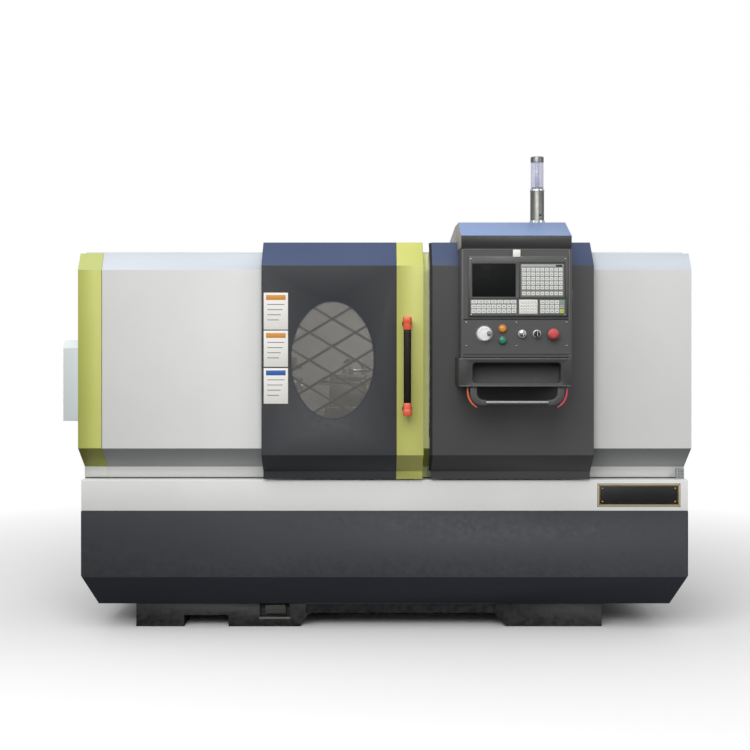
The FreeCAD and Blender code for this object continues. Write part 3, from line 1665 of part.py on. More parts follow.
def console():
    """The console box on the guard, with a hole for each switch stem."""
    t = d.sheet
    y = -d.con_out
    rear = -d.mov_out
    outer = block("con_box", (d.con_left, d.con_right), (y, rear), (d.shelf_top, d.con_top))
    inner = block(
        "con_hollow",
        (d.con_left + t, d.con_right - t),
        (y + t, rear + 1),
        (d.shelf_top + t, d.con_top - t),
    )
    plate = block(
        "con_plate",
        (d.con_left + d.plate_inset, d.con_right - d.plate_inset),
        (y - t, y),
        (d.plate_low, d.plate_high),
    )
    holes = []
    for name, x, z in switch_spots():
        holes.append(rod(f"{name}_hole", "y", y - t - 1, y + t + 1, (x, z), d.stem_radius + d.stem_play))
    bezels = []
    for name, x, z in switch_spots():
        if name == "mpg":
            continue
        bezels.append(
            ring(
                f"{name}_bezel",
                "y",
                y - t - d.bezel_high,
                y - t,
                (x, z),
                d.lamp_radius + d.bezel_wall,
                d.lamp_radius - d.bezel_lap,
            )
        )
    shell = cut("con_shell", fuse("con_body", outer, plate), inner, *holes)
    keep("console", fuse("console", shell, *bezels))


def switch_spots():
    """Each switch's name and place on the console."""
    z = d.switch_z
    return (
        ("mpg", d.mpg_x, z),
        ("amber", d.lamp_x, z + d.lamp_up),
        ("green", d.lamp_x, z - d.lamp_down),
        ("key", d.key_x, z),
        ("selector", d.selector_x, z),
        ("stop", d.stop_x, z),
    )


def control_unit():
    """The control unit's face: screen and key fields lie in shallow recesses."""
    y = -d.con_out
    front = y - d.unit_proud
    face = block(
        "unit_face", (d.unit_left, d.unit_right), (front, y), (d.unit_low, d.unit_high)
    )
    fields = (
        ((d.screen_left, d.screen_right), (d.screen_low, d.screen_high)),
        ((d.keys_left, d.keys_right), (d.screen_low, d.screen_high)),
        ((d.pad_left, d.pad_right), (d.pad_low, d.pad_high)),
        ((d.grid_left, d.grid_right), (d.pad_low, d.pad_high)),
        ((d.jog_left, d.jog_right), (d.pad_low, d.pad_high)),
    )
    recesses = []
    for i, (x, z) in enumerate(fields):
        recesses.append(block(f"unit_field_{i}", x, (front - 1, front + d.recess), z))
    keep("control_unit", cut("control_unit", face, *recesses))


def shelf():
    """The shelf box under the console, with a round-cornered bin in its front."""
    rear = -d.mov_out
    y = -d.shelf_out
    wall = d.shelf_wall
    span = (d.shelf_left, d.shelf_right)
    body = block("shelf_box", span, (y, rear), (d.shelf_low, d.shelf_top))
    bin_box = block(
        "shelf_bin",
        (d.bin_left, d.bin_right),
        (y - 1, y + d.bin_depth),
        (d.bin_low, d.bin_high),
    )
    bin_soft = soften("shelf_bin_soft", bin_box, d.bin_round, is_lengthwise)
    hollow = block(
        "shelf_hollow",
        (d.shelf_left + wall, d.shelf_right - wall),
        (y + d.bin_depth + wall, rear + 1),
        (d.shelf_low + wall, d.shelf_top - wall),
    )
    keep("shelf", cut("shelf", body, bin_soft, hollow))


def is_lengthwise(edge):
    """True for edges that run front to rear."""
    return runs_along(edge, "y")


def pull_handle():
    """The U-shaped pull under the shelf: rounded legs and a round bar between."""
    centre = d.pull_x
    front = d.pull_y - d.pull_thick / 2
    rear = d.pull_y + d.pull_thick / 2
    high = d.shelf_low
    half = d.pull_half
    bar_z = d.pull_low + d.pull_rise
    toe_z = bar_z + d.pull_bar + d.pull_lip
    pieces = []
    for i, side in enumerate((-1, 1)):
        outer_x = centre + half * side
        inner_x = centre + (half - d.pull_leg) * side
        bar_x = centre + d.pull_bar_half * side
        cut_x = centre + (half - d.pull_bend) * side
        corner = [
            (outer_x - d.pull_bend * along * side, d.pull_low + d.pull_bend * up)
            for along, up in PULL_CORNER
        ]
        leg = along_y(
            f"pull_leg_{i}",
            [
                (outer_x, high),
                *corner,
                (outer_x - d.pull_bend / 2 * side, d.pull_low + d.pull_step),
                (cut_x, d.pull_low),
                (bar_x, d.pull_low),
                (bar_x, toe_z),
                (cut_x + d.pull_toe * side, toe_z),
                (inner_x, d.pull_low + d.pull_crook),
                (inner_x, high),
            ],
            front,
            rear,
        )
        pieces.append(leg)
    left, right = centre - d.pull_bar_half, centre + d.pull_bar_half
    pieces.append(rod("pull_bar", "x", left, right, (d.pull_y, bar_z), d.pull_bar))
    keep("pull_handle", fuse("pull_handle", *pieces))


def beacon():
    """The signal beacon: post with collar, clear lens and cap."""
    spot = (d.beacon_x, d.beacon_y)
    post = rod("beacon_tube", "z", d.hood_top, d.beacon_joint, spot, d.beacon_radius)
    wide = d.beacon_radius + d.collar_wall
    collar = rod("beacon_collar", "z", d.hood_top, d.hood_top + d.collar_high, spot, wide)
    keep("beacon_post", fuse("beacon_post", post, collar))
    high = d.beacon_top - d.beacon_cap
    lens = rod("beacon_lens_tube", "z", d.beacon_joint, high, spot, d.lens_radius)
    cap = rod("beacon_cap", "z", high, d.beacon_top, spot, d.lens_radius)
    keep("beacon_lens", fuse("beacon_lens", lens, cap))


def stem(name, x, z, front):
    """A switch stem through the console's front."""
    return rod(name, "y", front, d.stem_in - d.con_out, (x, z), d.stem_radius)


def switches():
    """The hand-pulse dial, push buttons, key, selector and emergency stop."""
    face = -(d.con_out + d.sheet)
    spots = {name: (x, z) for name, x, z in switch_spots()}
    x, z = spots["mpg"]
    dial_rear = face - d.dial_gap
    dial = rod("mpg_disc", "y", face - d.dial_thick, dial_rear, (x, z), d.mpg_radius)
    spot = (x + d.peg_x, z + d.peg_z)
    peg = rod("mpg_peg", "y", face - d.peg_out, face - d.dial_thick, spot, d.peg_radius)
    keep("mpg_dial", fuse("mpg_dial", dial, peg, stem("mpg_stem", x, z, dial_rear)))
    for name in ("amber", "green"):
        x, z = spots[name]
        cap_rear = face - d.push_gap
        cap = rod(f"{name}_cap", "y", face - d.button_out, cap_rear, (x, z), d.lamp_radius - 1)
        keep(f"{name}_button", fuse(f"{name}_button", cap, stem(f"{name}_stem", x, z, cap_rear)))
    x, z = spots["key"]
    barrel_rear = face - d.dial_gap
    barrel = rod("key_barrel", "y", face - d.key_base, barrel_rear, (x, z), d.lamp_radius - 1)
    thick = (x - d.key_thick / 2, x + d.key_thick / 2)
    neck = face - d.key_neck
    high = (z - d.blade_half, z + d.blade_half)
    blade = block("key_blade", thick, (neck, face - d.key_base), high)
    high = (z - d.bow_half, z + d.bow_half)
    bow = block("key_bow", thick, (face - d.key_out, neck), high)
    keep("key", fuse("key", barrel, blade, bow, stem("key_stem", x, z, barrel_rear)))
    x, z = spots["selector"]
    base = face - d.knob_base
    barrel = rod("selector_barrel", "y", base, barrel_rear, (x, z), d.lamp_radius - 1)
    bar = block(
        "selector_bar",
        (x - d.knob_half, x + d.knob_half),
        (face - d.knob_high, base),
        (z - d.knob_radius, z + d.knob_radius),
    )
    keep("selector", fuse("selector", barrel, bar, stem("selector_stem", x, z, barrel_rear)))
    x, z = spots["stop"]
    head_rear = face - d.stop_neck
    pin_end = head_rear + d.pin_lap
    shaft = stem("stop_shaft", x, z, pin_end)
    pin = d.stem_radius - d.pin_less
    peg = rod("stop_peg", "y", head_rear - d.pin_long, pin_end, (x, z), pin)
    keep("stop_stem", fuse("stop_stem", shaft, peg))
    crown_rear = head_rear - d.stop_thick
    crown_front = crown_rear - d.crown_high
    disc = rod("stop_disc", "y", crown_rear, head_rear, (x, z), d.stop_radius)
    tip = d.stop_radius - d.crown_less
    crown = cone("stop_crown", "y", crown_front, crown_rear, (x, z), tip, d.stop_radius)
    pit = head_rear - d.pin_long - 1
    bore = rod("stop_bore", "y", pit, head_rear + 1, (x, z), pin + d.run_play)
    keep("stop_head", cut("stop_head", fuse("stop_mushroom", disc, crown), bore))


# --------------------------------------------------------------------------
# Electrical cabinet
# --------------------------------------------------------------------------
def cabinet():
    """The cabinet on the machine's rear, with the fixed halves of its door's hinges."""
    t = d.sheet
    shut = door_front()
    outer = block(
        "cab_box",
        (d.cab_left, d.cab_right),
        (d.rear_y, shut - d.door_play),
        (d.cab_low, d.cab_high),
    )
    inner = block(
        "cab_hollow",
        (d.cab_left + t, d.cab_right - t),
        (d.rear_y + t, shut),
        (d.cab_low + t, d.cab_high - t),
    )
    shell = cut("cab_shell", outer, inner)
    keep("cabinet", fuse("cabinet", shell, *hinge_pins()))


def door_front():
    """The inner face of the cabinet's door."""
    return cab_back() - d.cab_door_thick


def mounting_plate():
    """The plate on studs inside the cabinet, with the drives on it."""
    inset = d.stud_inset
    wall = d.rear_y + d.sheet
    stud_end = wall + d.stud_long
    plate_end = stud_end + d.gear_plate
    gear = [
        block(
            "cab_plate",
            (d.cab_left + d.gear_inset, d.cab_right - d.gear_inset),
            (stud_end, plate_end),
            (d.cab_low + d.gear_inset, d.cab_high - d.gear_inset),
        )
    ]
    for i in range(DRIVES):
        left = d.cab_left + d.drive_left + d.drive_pitch * i
        gear.append(
            block(
                f"cab_drive_{i}",
                (left, left + d.drive_wide),
                (plate_end, wall + d.drive_deep),
                (d.cab_high - d.drive_low, d.cab_high - d.drive_high),
            )
        )
    for i, x in enumerate((d.cab_left + inset, d.cab_right - inset)):
        for j, z in enumerate((d.cab_low + inset, d.cab_high - inset)):
            gear.append(rod(f"cab_stud_{i}{j}", "y", wall, stud_end, (x, z), d.stud_radius))
    keep("mounting_plate", fuse("mounting_plate", *gear))


def hinge_heights():
    """The middles of the door's two hinges."""
    return (d.cab_low + d.hinge_inset, d.cab_high - d.hinge_inset)


def hinge_x():
    """The hinge axis beside the cabinet."""
    return d.cab_left - d.hinge_radius


def hinge_y():
    """The hinge axis, front to rear."""
    return door_front() + d.hinge_radius


def hinge_pins():
    """The fixed halves of the hinges: pin, knuckle, bracket and link."""
    x, y = hinge_x(), hinge_y()
    pins = []
    for i, middle in enumerate(hinge_heights()):
        low, split, high = middle - d.hinge_half, middle - d.hinge_split, middle + d.hinge_half
        pins.append(rod(f"cab_pin_{i}", "z", low, high, (x, y), d.pin_radius))
        pins.append(rod(f"cab_fixed_{i}", "z", low, split, (x, y), d.hinge_radius))
        pins.append(
            block(
                f"cab_bracket_{i}",
                (x - d.link_half, d.cab_left),
                (door_front() - d.bracket_deep, y - d.bracket_gap),
                (low, split),
            )
        )
        pins.append(
            block(
                f"cab_link_{i}",
                (x - d.link_half, x + d.link_half),
                (y - d.link_deep, y),
                (low, split),
            )
        )
    return pins


def cabinet_door():
    """The cabinet's door with its hinge knuckles and a bore for the main switch."""
    x, y = hinge_x(), hinge_y()
    front, back = door_front(), cab_back()
    leaf = block("cab_leaf", (d.cab_left, d.cab_right), (front, back), (d.cab_low, d.cab_high))
    bore = rod("cab_bore", "y", front - 1, back + 1, switch_spot(), d.stem_radius + d.stem_play)
    clears = []
    knuckles = []
    tabs = []
    for i, middle in enumerate(hinge_heights()):
        low, high = middle - d.knuckle_low, middle + d.hinge_half
        gap = d.hinge_half + d.tab_gap
        clears.append(
            block(
                f"cab_clear_{i}",
                (d.cab_left - 1, d.cab_left + d.tab_lap),
                (front - 1, back + 1),
                (middle - gap, middle + gap),
            )
        )
        hole = d.pin_radius + d.run_play
        knuckles.append(
            ring(f"cab_knuckle_{i}", "z", low, high, (x, y), d.hinge_radius + 1, hole)
        )
        tabs.append(
            block(
                f"cab_tab_{i}",
                (x + d.hinge_radius - 1, d.cab_left + d.tab_lap),
                (y + 1, y + 1 + d.tab_thick),
                (low, high),
            )
        )
    cut_leaf = cut("cab_leaf_cut", leaf, bore, *clears)
    keep("cabinet_door", fuse("cabinet_door", cut_leaf, *knuckles, *tabs))


def switch_spot():
    """The main switch's place on the cabinet's door."""
    return (d.cab_right - d.switch_inset, d.cab_high - d.switch_drop)


def main_switch():
    """The main switch: a round base with a lever, and its shaft through the door."""
    x, z = switch_spot()
    face = cab_back() + d.dial_gap
    top = cab_back() + d.switch_base
    base = rod("switch_base", "y", face, top, (x, z), d.switch_radius)
    lever = block(
        "switch_lever",
        (x - d.lever_half, x + d.lever_half),
        (top, cab_back() + d.knob_out),
        (z - d.lever_reach, z + d.lever_reach),
    )
    shaft = rod("switch_shaft", "y", door_front() + d.shaft_in, face, (x, z), d.stem_radius)
    keep("main_switch", fuse("main_switch", base, lever, shaft))


def build():
    """Makes every piece."""
    for maker in (
        base_tub,
        chip_tray,
        pedestals,
        bed,
        headstock,
        spindle,
        chuck,
        main_motor,
        drive_belt,
        long_screw,
        saddle,
        cross_drive,
        cross_slide,
        tool_post,
        tailstock,
        front_sheets,
        rear_shell,
        roof,
        partition,
        end_cover,
        door,
        guard_cover,
        hood,
        console,
        control_unit,
        shelf,
        pull_handle,
        beacon,
        switches,
        cabinet,
        mounting_plate,
        cabinet_door,
        main_switch,
    ):
        maker()


def check():
    """Stops if any object failed or any piece is empty or broken."""
    for thing in doc.Objects:
        if "Invalid" in thing.State or "Error" in thing.State:
            raise RuntimeError(f"{thing.Name} did not recompute: {thing.State}")
    for node, thing in NODES.items():
        if thing.Shape.isNull() or not thing.Shape.isValid() or not thing.Shape.Solids:
            raise RuntimeError(f"{node} has no sound shape")


def write_out():
    """Writes one STEP file for each piece."""
    os.makedirs("parts", exist_ok=True)
    for node, thing in NODES.items():
        thing.Shape.exportStep(f"parts/{node}.step")


build()
doc.recompute()
check()
write_out()
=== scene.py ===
"""Dresses the turning lathe: finishes for the CAD frame and the small parts that ride on it.

Sizes are in millimetres from the middle of the base (X), the fixed front panels'
face (Y, positive to the rear) and the floor (Z). Piece.build carries them into the
frame's own metres.
"""

from __future__ import annotations

import functools
import logging
import math
from collections.abc import Sequence
from dataclasses import dataclass, field
from enum import Enum

import bmesh
import bpy
from mathutils import Matrix, Vector


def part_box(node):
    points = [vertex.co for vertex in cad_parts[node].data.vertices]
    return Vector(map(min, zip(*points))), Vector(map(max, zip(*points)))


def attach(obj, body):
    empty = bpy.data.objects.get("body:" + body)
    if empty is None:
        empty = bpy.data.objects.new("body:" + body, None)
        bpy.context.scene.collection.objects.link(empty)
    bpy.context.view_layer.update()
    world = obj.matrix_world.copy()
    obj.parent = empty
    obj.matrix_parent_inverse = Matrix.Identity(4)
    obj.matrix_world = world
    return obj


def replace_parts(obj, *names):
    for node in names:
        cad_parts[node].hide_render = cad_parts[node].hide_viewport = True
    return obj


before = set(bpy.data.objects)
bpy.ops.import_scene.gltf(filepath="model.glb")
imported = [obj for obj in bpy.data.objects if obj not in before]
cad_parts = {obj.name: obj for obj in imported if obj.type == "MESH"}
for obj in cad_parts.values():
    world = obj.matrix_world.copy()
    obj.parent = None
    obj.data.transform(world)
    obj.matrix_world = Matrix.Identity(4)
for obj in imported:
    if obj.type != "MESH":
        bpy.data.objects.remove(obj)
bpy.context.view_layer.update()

log = logging.getLogger("turning_lathe")

MM = 0.001
TRAY_LOW, TRAY_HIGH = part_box("chip_tray")
FACE_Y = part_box("left_panel")[0].y
ORIGIN = Vector(((TRAY_LOW.x + TRAY_HIGH.x) / 2, FACE_Y, 0.0))

# the spindle's axis
AXIS_Y = 450.0
AXIS_Z = 1010.0

Point = tuple[float, float, float]
Colour = tuple[float, float, float]
Value = float | Sequence[float]
Outline = Sequence[tuple[float, float]]
Tree = bpy.types.NodeTree
Socket = bpy.types.NodeSocket


# ---------------------------------------------------------------------------
# Finishes
# ---------------------------------------------------------------------------
def linear(red: float, green: float, blue: float) -> Colour:
    """Screen colour values from 0 to 255 as linear light.

    Args:
        red: the red value.
        green: the green value.
        blue: the blue value.

    Returns:
        The colour in linear light, from 0 to 1.
    """

    def channel(value: float) -> float:
        """One channel in linear light."""
        share = value / 255
        return share / 12.92 if share <= 0.04045 else ((share + 0.055) / 1.055) ** 2.4

    return channel(red), channel(green), channel(blue)


class Texture(Enum):
    """What the fine surface of a finish looks like."""

    POWDER = "powder"
    CAST = "cast"
    BRUSHED_X = "brushed_x"
    BRUSHED_Z = "brushed_z"
    MOULDED = "moulded"
    POLISHED = "polished"


# noise scale per metre in X, Y and Z, height in metres, strength
TEXTURES = {
    Texture.POWDER: ((900, 900, 900), 0.0004, 0.10),
    Texture.CAST: ((260, 260, 260), 0.0012, 0.35),
    Texture.BRUSHED_X: ((20, 900, 900), 0.0003, 0.12),
    Texture.BRUSHED_Z: ((900, 900, 20), 0.0003, 0.12),
    Texture.MOULDED: ((1600, 1600, 1600), 0.0003, 0.14),
    Texture.POLISHED: ((60, 60, 60), 0.0002, 0.03),
}

# noises as features per metre and octaves
PATCHES = (3.0, 5.0)
SPECKS = (55.0, 4.0)
GRAIN = (1.0, 3.0)
NOISE_RANGE = (0.3, 0.7)

COAT_ROUGHNESS = 0.12
ROUGHNESS_SWING = (0.82, 1.2)

# how far a normal leans before the face counts as a slope or as an end
SLOPE_LEAN = 0.12
END_LEAN = 0.9

# grime and painted shade in the corners: how far a corner reaches in metres, the rays that look for
# it, the shades it comes in over, how thin it gets where it is broken up, its colour
CORNER_REACH = 0.03
CORNER_SAMPLES = 4
CORNER_SHADE = (0.75, 0.2)
GRIME_AND_SHADE_THINNEST = 0.55
GRIME_AND_SHADE_COLOUR = (0.035, 0.03, 0.025)

# dried splashes: the heights in metres they come in over, how dense, how thin, their colour
SPLASH_HEIGHTS = (0.45, 0.0)
SPLASH_SHARE = 0.22
SPLASH_THINNEST = 0.1
SPLASH_COLOUR = (0.2, 0.19, 0.17)


def fill(tree: Tree, socket: Socket, value: Value | Socket) -> None:
    """Links a socket to another one, or sets its own value.

    Args:
        tree: the nodes.
        socket: the input to fill.
        value: the output to link, or the value.
    """
    if isinstance(value, Socket):
        tree.links.new(value, socket)
    else:
        socket.default_value = value


def add_node(
    tree: Tree, kind: str, inputs: dict[str | int, Value | Socket] | None = None,
    operation: str | None = None,
) -> bpy.types.Node:
    """Adds a shader node and fills its inputs.

    Args:
        tree: the nodes.
        kind: the node's type, without its prefix.
        inputs: what goes into which input.
        operation: what a mathematical node does.

    Returns:
        The node.
    """
    node = tree.nodes.new(f"ShaderNode{kind}")
    if operation:
        node.operation = operation
    for name, value in (inputs or {}).items():
        fill(tree, node.inputs[name], value)
    return node


def ramp(
    tree: Tree, value: Socket, source: tuple[float, float], target: tuple[float, float]
) -> Socket:
    """A value carried from one range into another and held there.

    Args:
        tree: the nodes.
        value: the value.
        source: the range that it comes from.
        target: the range that it goes to.

    Returns:
        The carried value.
    """
    inputs = {
        "Value": value, "From Min": source[0], "From Max": source[1],
        "To Min": target[0], "To Max": target[1],
    }
    return add_node(tree, "MapRange", inputs).outputs["Result"]


@dataclass(frozen=True)
class Finish:
    """A procedural finish: base colour with wander, soiling with painted shade in corners, fine
    texture and gloss.
    """

    name: str
    colour: Colour
    roughness: float = 0.42
    metallic: float = 0.0
    coat: float = 0.0
    specular: float = 0.5
    texture: Texture = Texture.POWDER
    wander: float = 0.05
    grime_and_shade: float = 0.35
    slope_light_and_paint: Colour | None = None
    underside_shading: Colour | None = None
    side_colour: Colour | None = None
    skirt_colour: Colour | None = None
    skirt_top: float = 0.0
    splash: bool = False
    alpha: float = 1.0

    @functools.cache
    def material(self) -> bpy.types.Material:
        """The finish as a material, made once.

        Returns:
            The Blender material.
        """
        made = bpy.data.materials.new(self.name)
        made.use_nodes = True
        tree = made.node_tree
        place = add_node(tree, "TexCoord").outputs["Object"]
        patches = self.noise(tree, place, *PATCHES)
        specks = self.noise(tree, place, *SPECKS)
        colour = self.wandered(tree, self.painted(tree), patches)
        low, high = (self.roughness * swing for swing in ROUGHNESS_SWING)
        shader = tree.nodes["Principled BSDF"]
        for name, value in (
            ("Metallic", self.metallic),
            ("Specular IOR Level", self.specular),
            ("Coat Weight", self.coat),
            ("Coat Roughness", COAT_ROUGHNESS),
            ("Alpha", self.alpha),
            ("Base Color", self.soiled_and_shaded(tree, colour, specks, place)),
            ("Roughness", ramp(tree, specks, NOISE_RANGE, (low, min(1.0, high)))),
            ("Normal", self.relief(tree, place)),
        ):
            fill(tree, shader.inputs[name], value)
        return made

    def noise(self, tree: Tree, place: Socket, scale: float, detail: float) -> Socket:
        """An even noise over the piece.

        Args:
            tree: the material's nodes.
            place: the coordinates to read.
            scale: features per metre.
            detail: octaves.

        Returns:
            The noise factor.
        """
        inputs = {"Vector": place, "Scale": scale, "Detail": detail}
        return add_node(tree, "TexNoise", inputs).outputs["Fac"]

    def mixed(
        self, tree: Tree, factor: Socket | float, first: Socket | Colour,
        second: Socket | Colour, blend: str = "MIX",
    ) -> Socket:
        """Two colours mixed by a factor.

        Args:
            tree: the material's nodes.
            factor: how much of the second colour shows.
            first: the colour at 0.
            second: the colour at 1.
            blend: how the second goes over the first.

        Returns:
            The mixed colour.
        """
        node = add_node(tree, "Mix")
        node.data_type = "RGBA"
        node.blend_type = blend
        fill(tree, node.inputs["Factor"], factor)
        targets = (socket for socket in node.inputs if socket.type == "RGBA")
        for target, value in zip(targets, (first, second)):
            fill(tree, target, (*value, 1) if isinstance(value, tuple) else value)
        return next(socket for socket in node.outputs if socket.type == "RGBA")

    def painted(self, tree: Tree) -> Socket | Colour:
        """The paint, with other colours on slopes, undersides, ends and a low skirt where the
        finish has them; slope colours are partly painted light, underside colours painted shade and
        light.

        Args:
            tree: the material's nodes.

        Returns:
            The colour, plain or as a socket.
        """
        colour: Socket | Colour = self.colour
        lean, place = ("NewGeometry", "True Normal"), ("TexCoord", "Object")
        # faces that look up: painted light on the white sheets and the green trim, blue paint on
        # the dark sheets and the hood; faces that look down: painted shade and light; ends and the
        # skirt: other paint
        for (kind, output), axis, test, limit, other in (
            (lean, "Z", "GREATER_THAN", SLOPE_LEAN, self.slope_light_and_paint),
            (lean, "Z", "LESS_THAN", -SLOPE_LEAN, self.underside_shading),
            (lean, "X", "GREATER_THAN", END_LEAN, self.side_colour),
            (lean, "X", "LESS_THAN", -END_LEAN, self.side_colour),
            (place, "Z", "LESS_THAN", self.skirt_top * MM, self.skirt_colour),
        ):
            if other is None:
                continue
            source = add_node(tree, kind).outputs[output]
            value = add_node(tree, "SeparateXYZ", {0: source}).outputs[axis]
            mask = add_node(tree, "Math", {0: value, 1: limit}, test)
            colour = self.mixed(tree, mask.outputs[0], colour, other)
        return colour

    def wandered(self, tree: Tree, colour: Socket | Colour, patches: Socket) -> Socket:
        """The colour a little lighter and darker in broad patches.

        Args:
            tree: the material's nodes.
            colour: the paint.
            patches: a broad noise.

        Returns:
            The varied colour.
        """
        shade = ramp(tree, patches, NOISE_RANGE, (1 - self.wander, 1 + self.wander))
        join = add_node(tree, "CombineXYZ", {axis: shade for axis in "XYZ"})
        return self.mixed(tree, 1.0, colour, join.outputs[0], "MULTIPLY")

    def soiled_and_shaded(self, tree: Tree, colour: Socket, specks: Socket, place: Socket) -> Socket:
        """The colour with grime and painted shade in the corners, and dried splashes low down.

        Args:
            tree: the material's nodes.
            colour: the clean colour.
            specks: a fine noise.
            place: the coordinates to read.

        Returns:
            The soiled colour.
        """
        corner = add_node(tree, "AmbientOcclusion", {"Distance": CORNER_REACH})
        corner.samples = CORNER_SAMPLES
        # painted shade: the colour darkens where the ambient occlusion finds a surface near by, and
        # grime comes in with it
        depth = ramp(tree, corner.outputs["AO"], CORNER_SHADE, (0.0, self.grime_and_shade))
        layers = [(depth, GRIME_AND_SHADE_THINNEST, GRIME_AND_SHADE_COLOUR)]
        if self.splash:
            height = add_node(tree, "SeparateXYZ", {0: place}).outputs["Z"]
            low = ramp(tree, height, SPLASH_HEIGHTS, (0.0, SPLASH_SHARE))
            layers.append((low, SPLASH_THINNEST, SPLASH_COLOUR))
        for share, thinnest, soil_and_shade_colour in layers:
            broken = ramp(tree, specks, NOISE_RANGE, (thinnest, 1.0))
            factor = add_node(tree, "Math", {0: share, 1: broken}, "MULTIPLY")
            colour = self.mixed(tree, factor.outputs[0], colour, soil_and_shade_colour)
        return colour

    def relief(self, tree: Tree, place: Socket) -> Socket:
        """The fine texture as a bumped normal.

        Args:
            tree: the material's nodes.
            place: the coordinates to read.

        Returns:
            The normal.
        """
        scales, height, strength = TEXTURES[self.texture]
        stretch = add_node(tree, "Mapping", {"Vector": place, "Scale": scales})
        grain = self.noise(tree, stretch.outputs[0], *GRAIN)
        inputs = {"Height": grain, "Strength": strength, "Distance": height}
        return add_node(tree, "Bump", inputs).outputs["Normal"]


BLUE = linear(76, 88, 118)
DARK_PAINT = Finish(
    "dark_paint", linear(66, 67, 70), 0.5, specular=0.22, slope_light_and_paint=BLUE, grime_and_shade=0.5
)
# the hood's upward slope: blue paint made pale by a painted reflection of the sky
HOOD_PAINT = Finish(
    "hood_paint", linear(60, 60, 60), 0.42, specular=0.3, slope_light_and_paint=linear(140, 163, 206),
    side_colour=linear(172, 168, 160), grime_and_shade=0.4,
)
# the guard's dark paint made paler than the door's: painted light, for the light that falls on the
# guard left of the console
LIT_GUARD_PAINT = Finish(
    "lit_guard_paint", linear(82, 83, 82), 0.46, specular=0.3, slope_light_and_paint=BLUE, grime_and_shade=0.5
)
# faces of the base that look down are paler: painted light from below
BASE_PAINT = Finish(
    "base_paint", linear(64, 66, 70), 0.52, specular=0.22, splash=True, grime_and_shade=0.5,
    underside_shading=linear(92, 96, 108), skirt_colour=linear(32, 34, 40), skirt_top=92.0,
)
FOOT_PAINT = Finish("foot_paint", linear(31, 33, 37), 0.55, splash=True, texture=Texture.CAST)
# one white paint with painted light and shade: a bluer tint on faces that look up, grey on faces
# that look down
WHITE_PAINT = Finish(
    "white_paint", linear(224, 225, 223), 0.42, specular=0.35, wander=0.025, grime_and_shade=0.3,
    slope_light_and_paint=linear(206, 212, 220), underside_shading=linear(160, 162, 162),
)
# paler than the white paint: painted light on the tray band, which the panels above shade
LIT_TRAY_PAINT = Finish(
    "lit_tray_paint", linear(236, 237, 235), 0.42, specular=0.35, wander=0.03, grime_and_shade=0.3
)
# painted light and shade on the green: paler on faces that look up, darker on faces that look down;
# below the skirt's top it is white paint
TRIM_PAINT = Finish(
    "trim_paint", linear(190, 196, 104), 0.42, specular=0.35, wander=0.03, grime_and_shade=0.35,
    slope_light_and_paint=linear(190, 198, 124), underside_shading=linear(160, 162, 74),
    skirt_colour=linear(224, 225, 223), skirt_top=667.0,
)
# the door stile's green made a little paler: painted light, for the stile's lower part that the
# console shades
LIT_GREEN_PAINT = Finish(
    "green_paint", linear(208, 210, 120), 0.42, specular=0.35, wander=0.03, grime_and_shade=0.35
)
# the green paint made much paler: painted light on the post, which stands in the stile's shade; its
# underside colour is painted shade
LIT_POST_PAINT = Finish(
    "lit_post_paint", linear(246, 250, 172), 0.42, specular=0.35, wander=0.03, grime_and_shade=0.35,
    underside_shading=linear(190, 200, 90),
)
STUD_PLATE = Finish("stud_plate", linear(84, 86, 80), 0.5, texture=Texture.CAST)
# paler and cooler than the white sheets: painted light on the end cover, which gets less of the
# lamps' light
LIT_COVER_PAINT = Finish(
    "lit_cover_paint", linear(240, 247, 249), 0.42, specular=0.35, wander=0.025, grime_and_shade=0.3,
)
GREY_PAINT = Finish("grey_paint", linear(176, 178, 178), 0.42, grime_and_shade=0.4)
CONSOLE_PAINT = Finish("console_paint", linear(84, 84, 84), 0.46, specular=0.3, grime_and_shade=0.5)
SHELF_PAINT = Finish("shelf_paint", linear(68, 68, 68), 0.46, specular=0.3, grime_and_shade=0.5)
UNIT_PLASTIC = Finish("unit_plastic", linear(80, 80, 79), 0.46, texture=Texture.MOULDED)
CAST_PAINT = Finish("cast_paint", linear(96, 102, 106), 0.5, texture=Texture.CAST, wander=0.1)
GROUND_STEEL = Finish("ground_steel", linear(190, 190, 192), 0.25, 1.0, texture=Texture.BRUSHED_X)
TURNED_STEEL = Finish("turned_steel", linear(160, 160, 164), 0.3, 1.0, texture=Texture.BRUSHED_Z)
CHROME = Finish("chrome", linear(225, 226, 228), 0.12, 1.0, texture=Texture.POLISHED, grime_and_shade=0.2)
STAINLESS = Finish("stainless", linear(158, 160, 162), 0.34, 1.0, texture=Texture.BRUSHED_Z)
POST_STEEL = Finish("post_steel", linear(126, 127, 122), 0.36, 1.0, texture=Texture.BRUSHED_Z)
MOTOR_ENAMEL = Finish("motor_enamel", linear(44, 45, 48), 0.4)
BLACK_RUBBER = Finish("black_rubber", linear(28, 27, 27), 0.7, texture=Texture.MOULDED)
GRIP_RUBBER = Finish(
    "grip_rubber", linear(26, 18, 15), 0.5, specular=0.2, texture=Texture.MOULDED, coat=0.08
)
RED_PLASTIC = Finish("red_plastic", linear(238, 100, 68), 0.35, texture=Texture.MOULDED, coat=0.2)
ACCENT_ORANGE = Finish("accent_orange", linear(214, 100, 68), 0.4)
ACCENT_ROSE = Finish("accent_rose", linear(196, 76, 96), 0.4)
AMBER_RING = Finish("amber_ring", linear(196, 126, 56), 0.35, texture=Texture.MOULDED, coat=0.2)
GREEN_RING = Finish("green_ring", linear(70, 112, 100), 0.35, texture=Texture.MOULDED, coat=0.2)
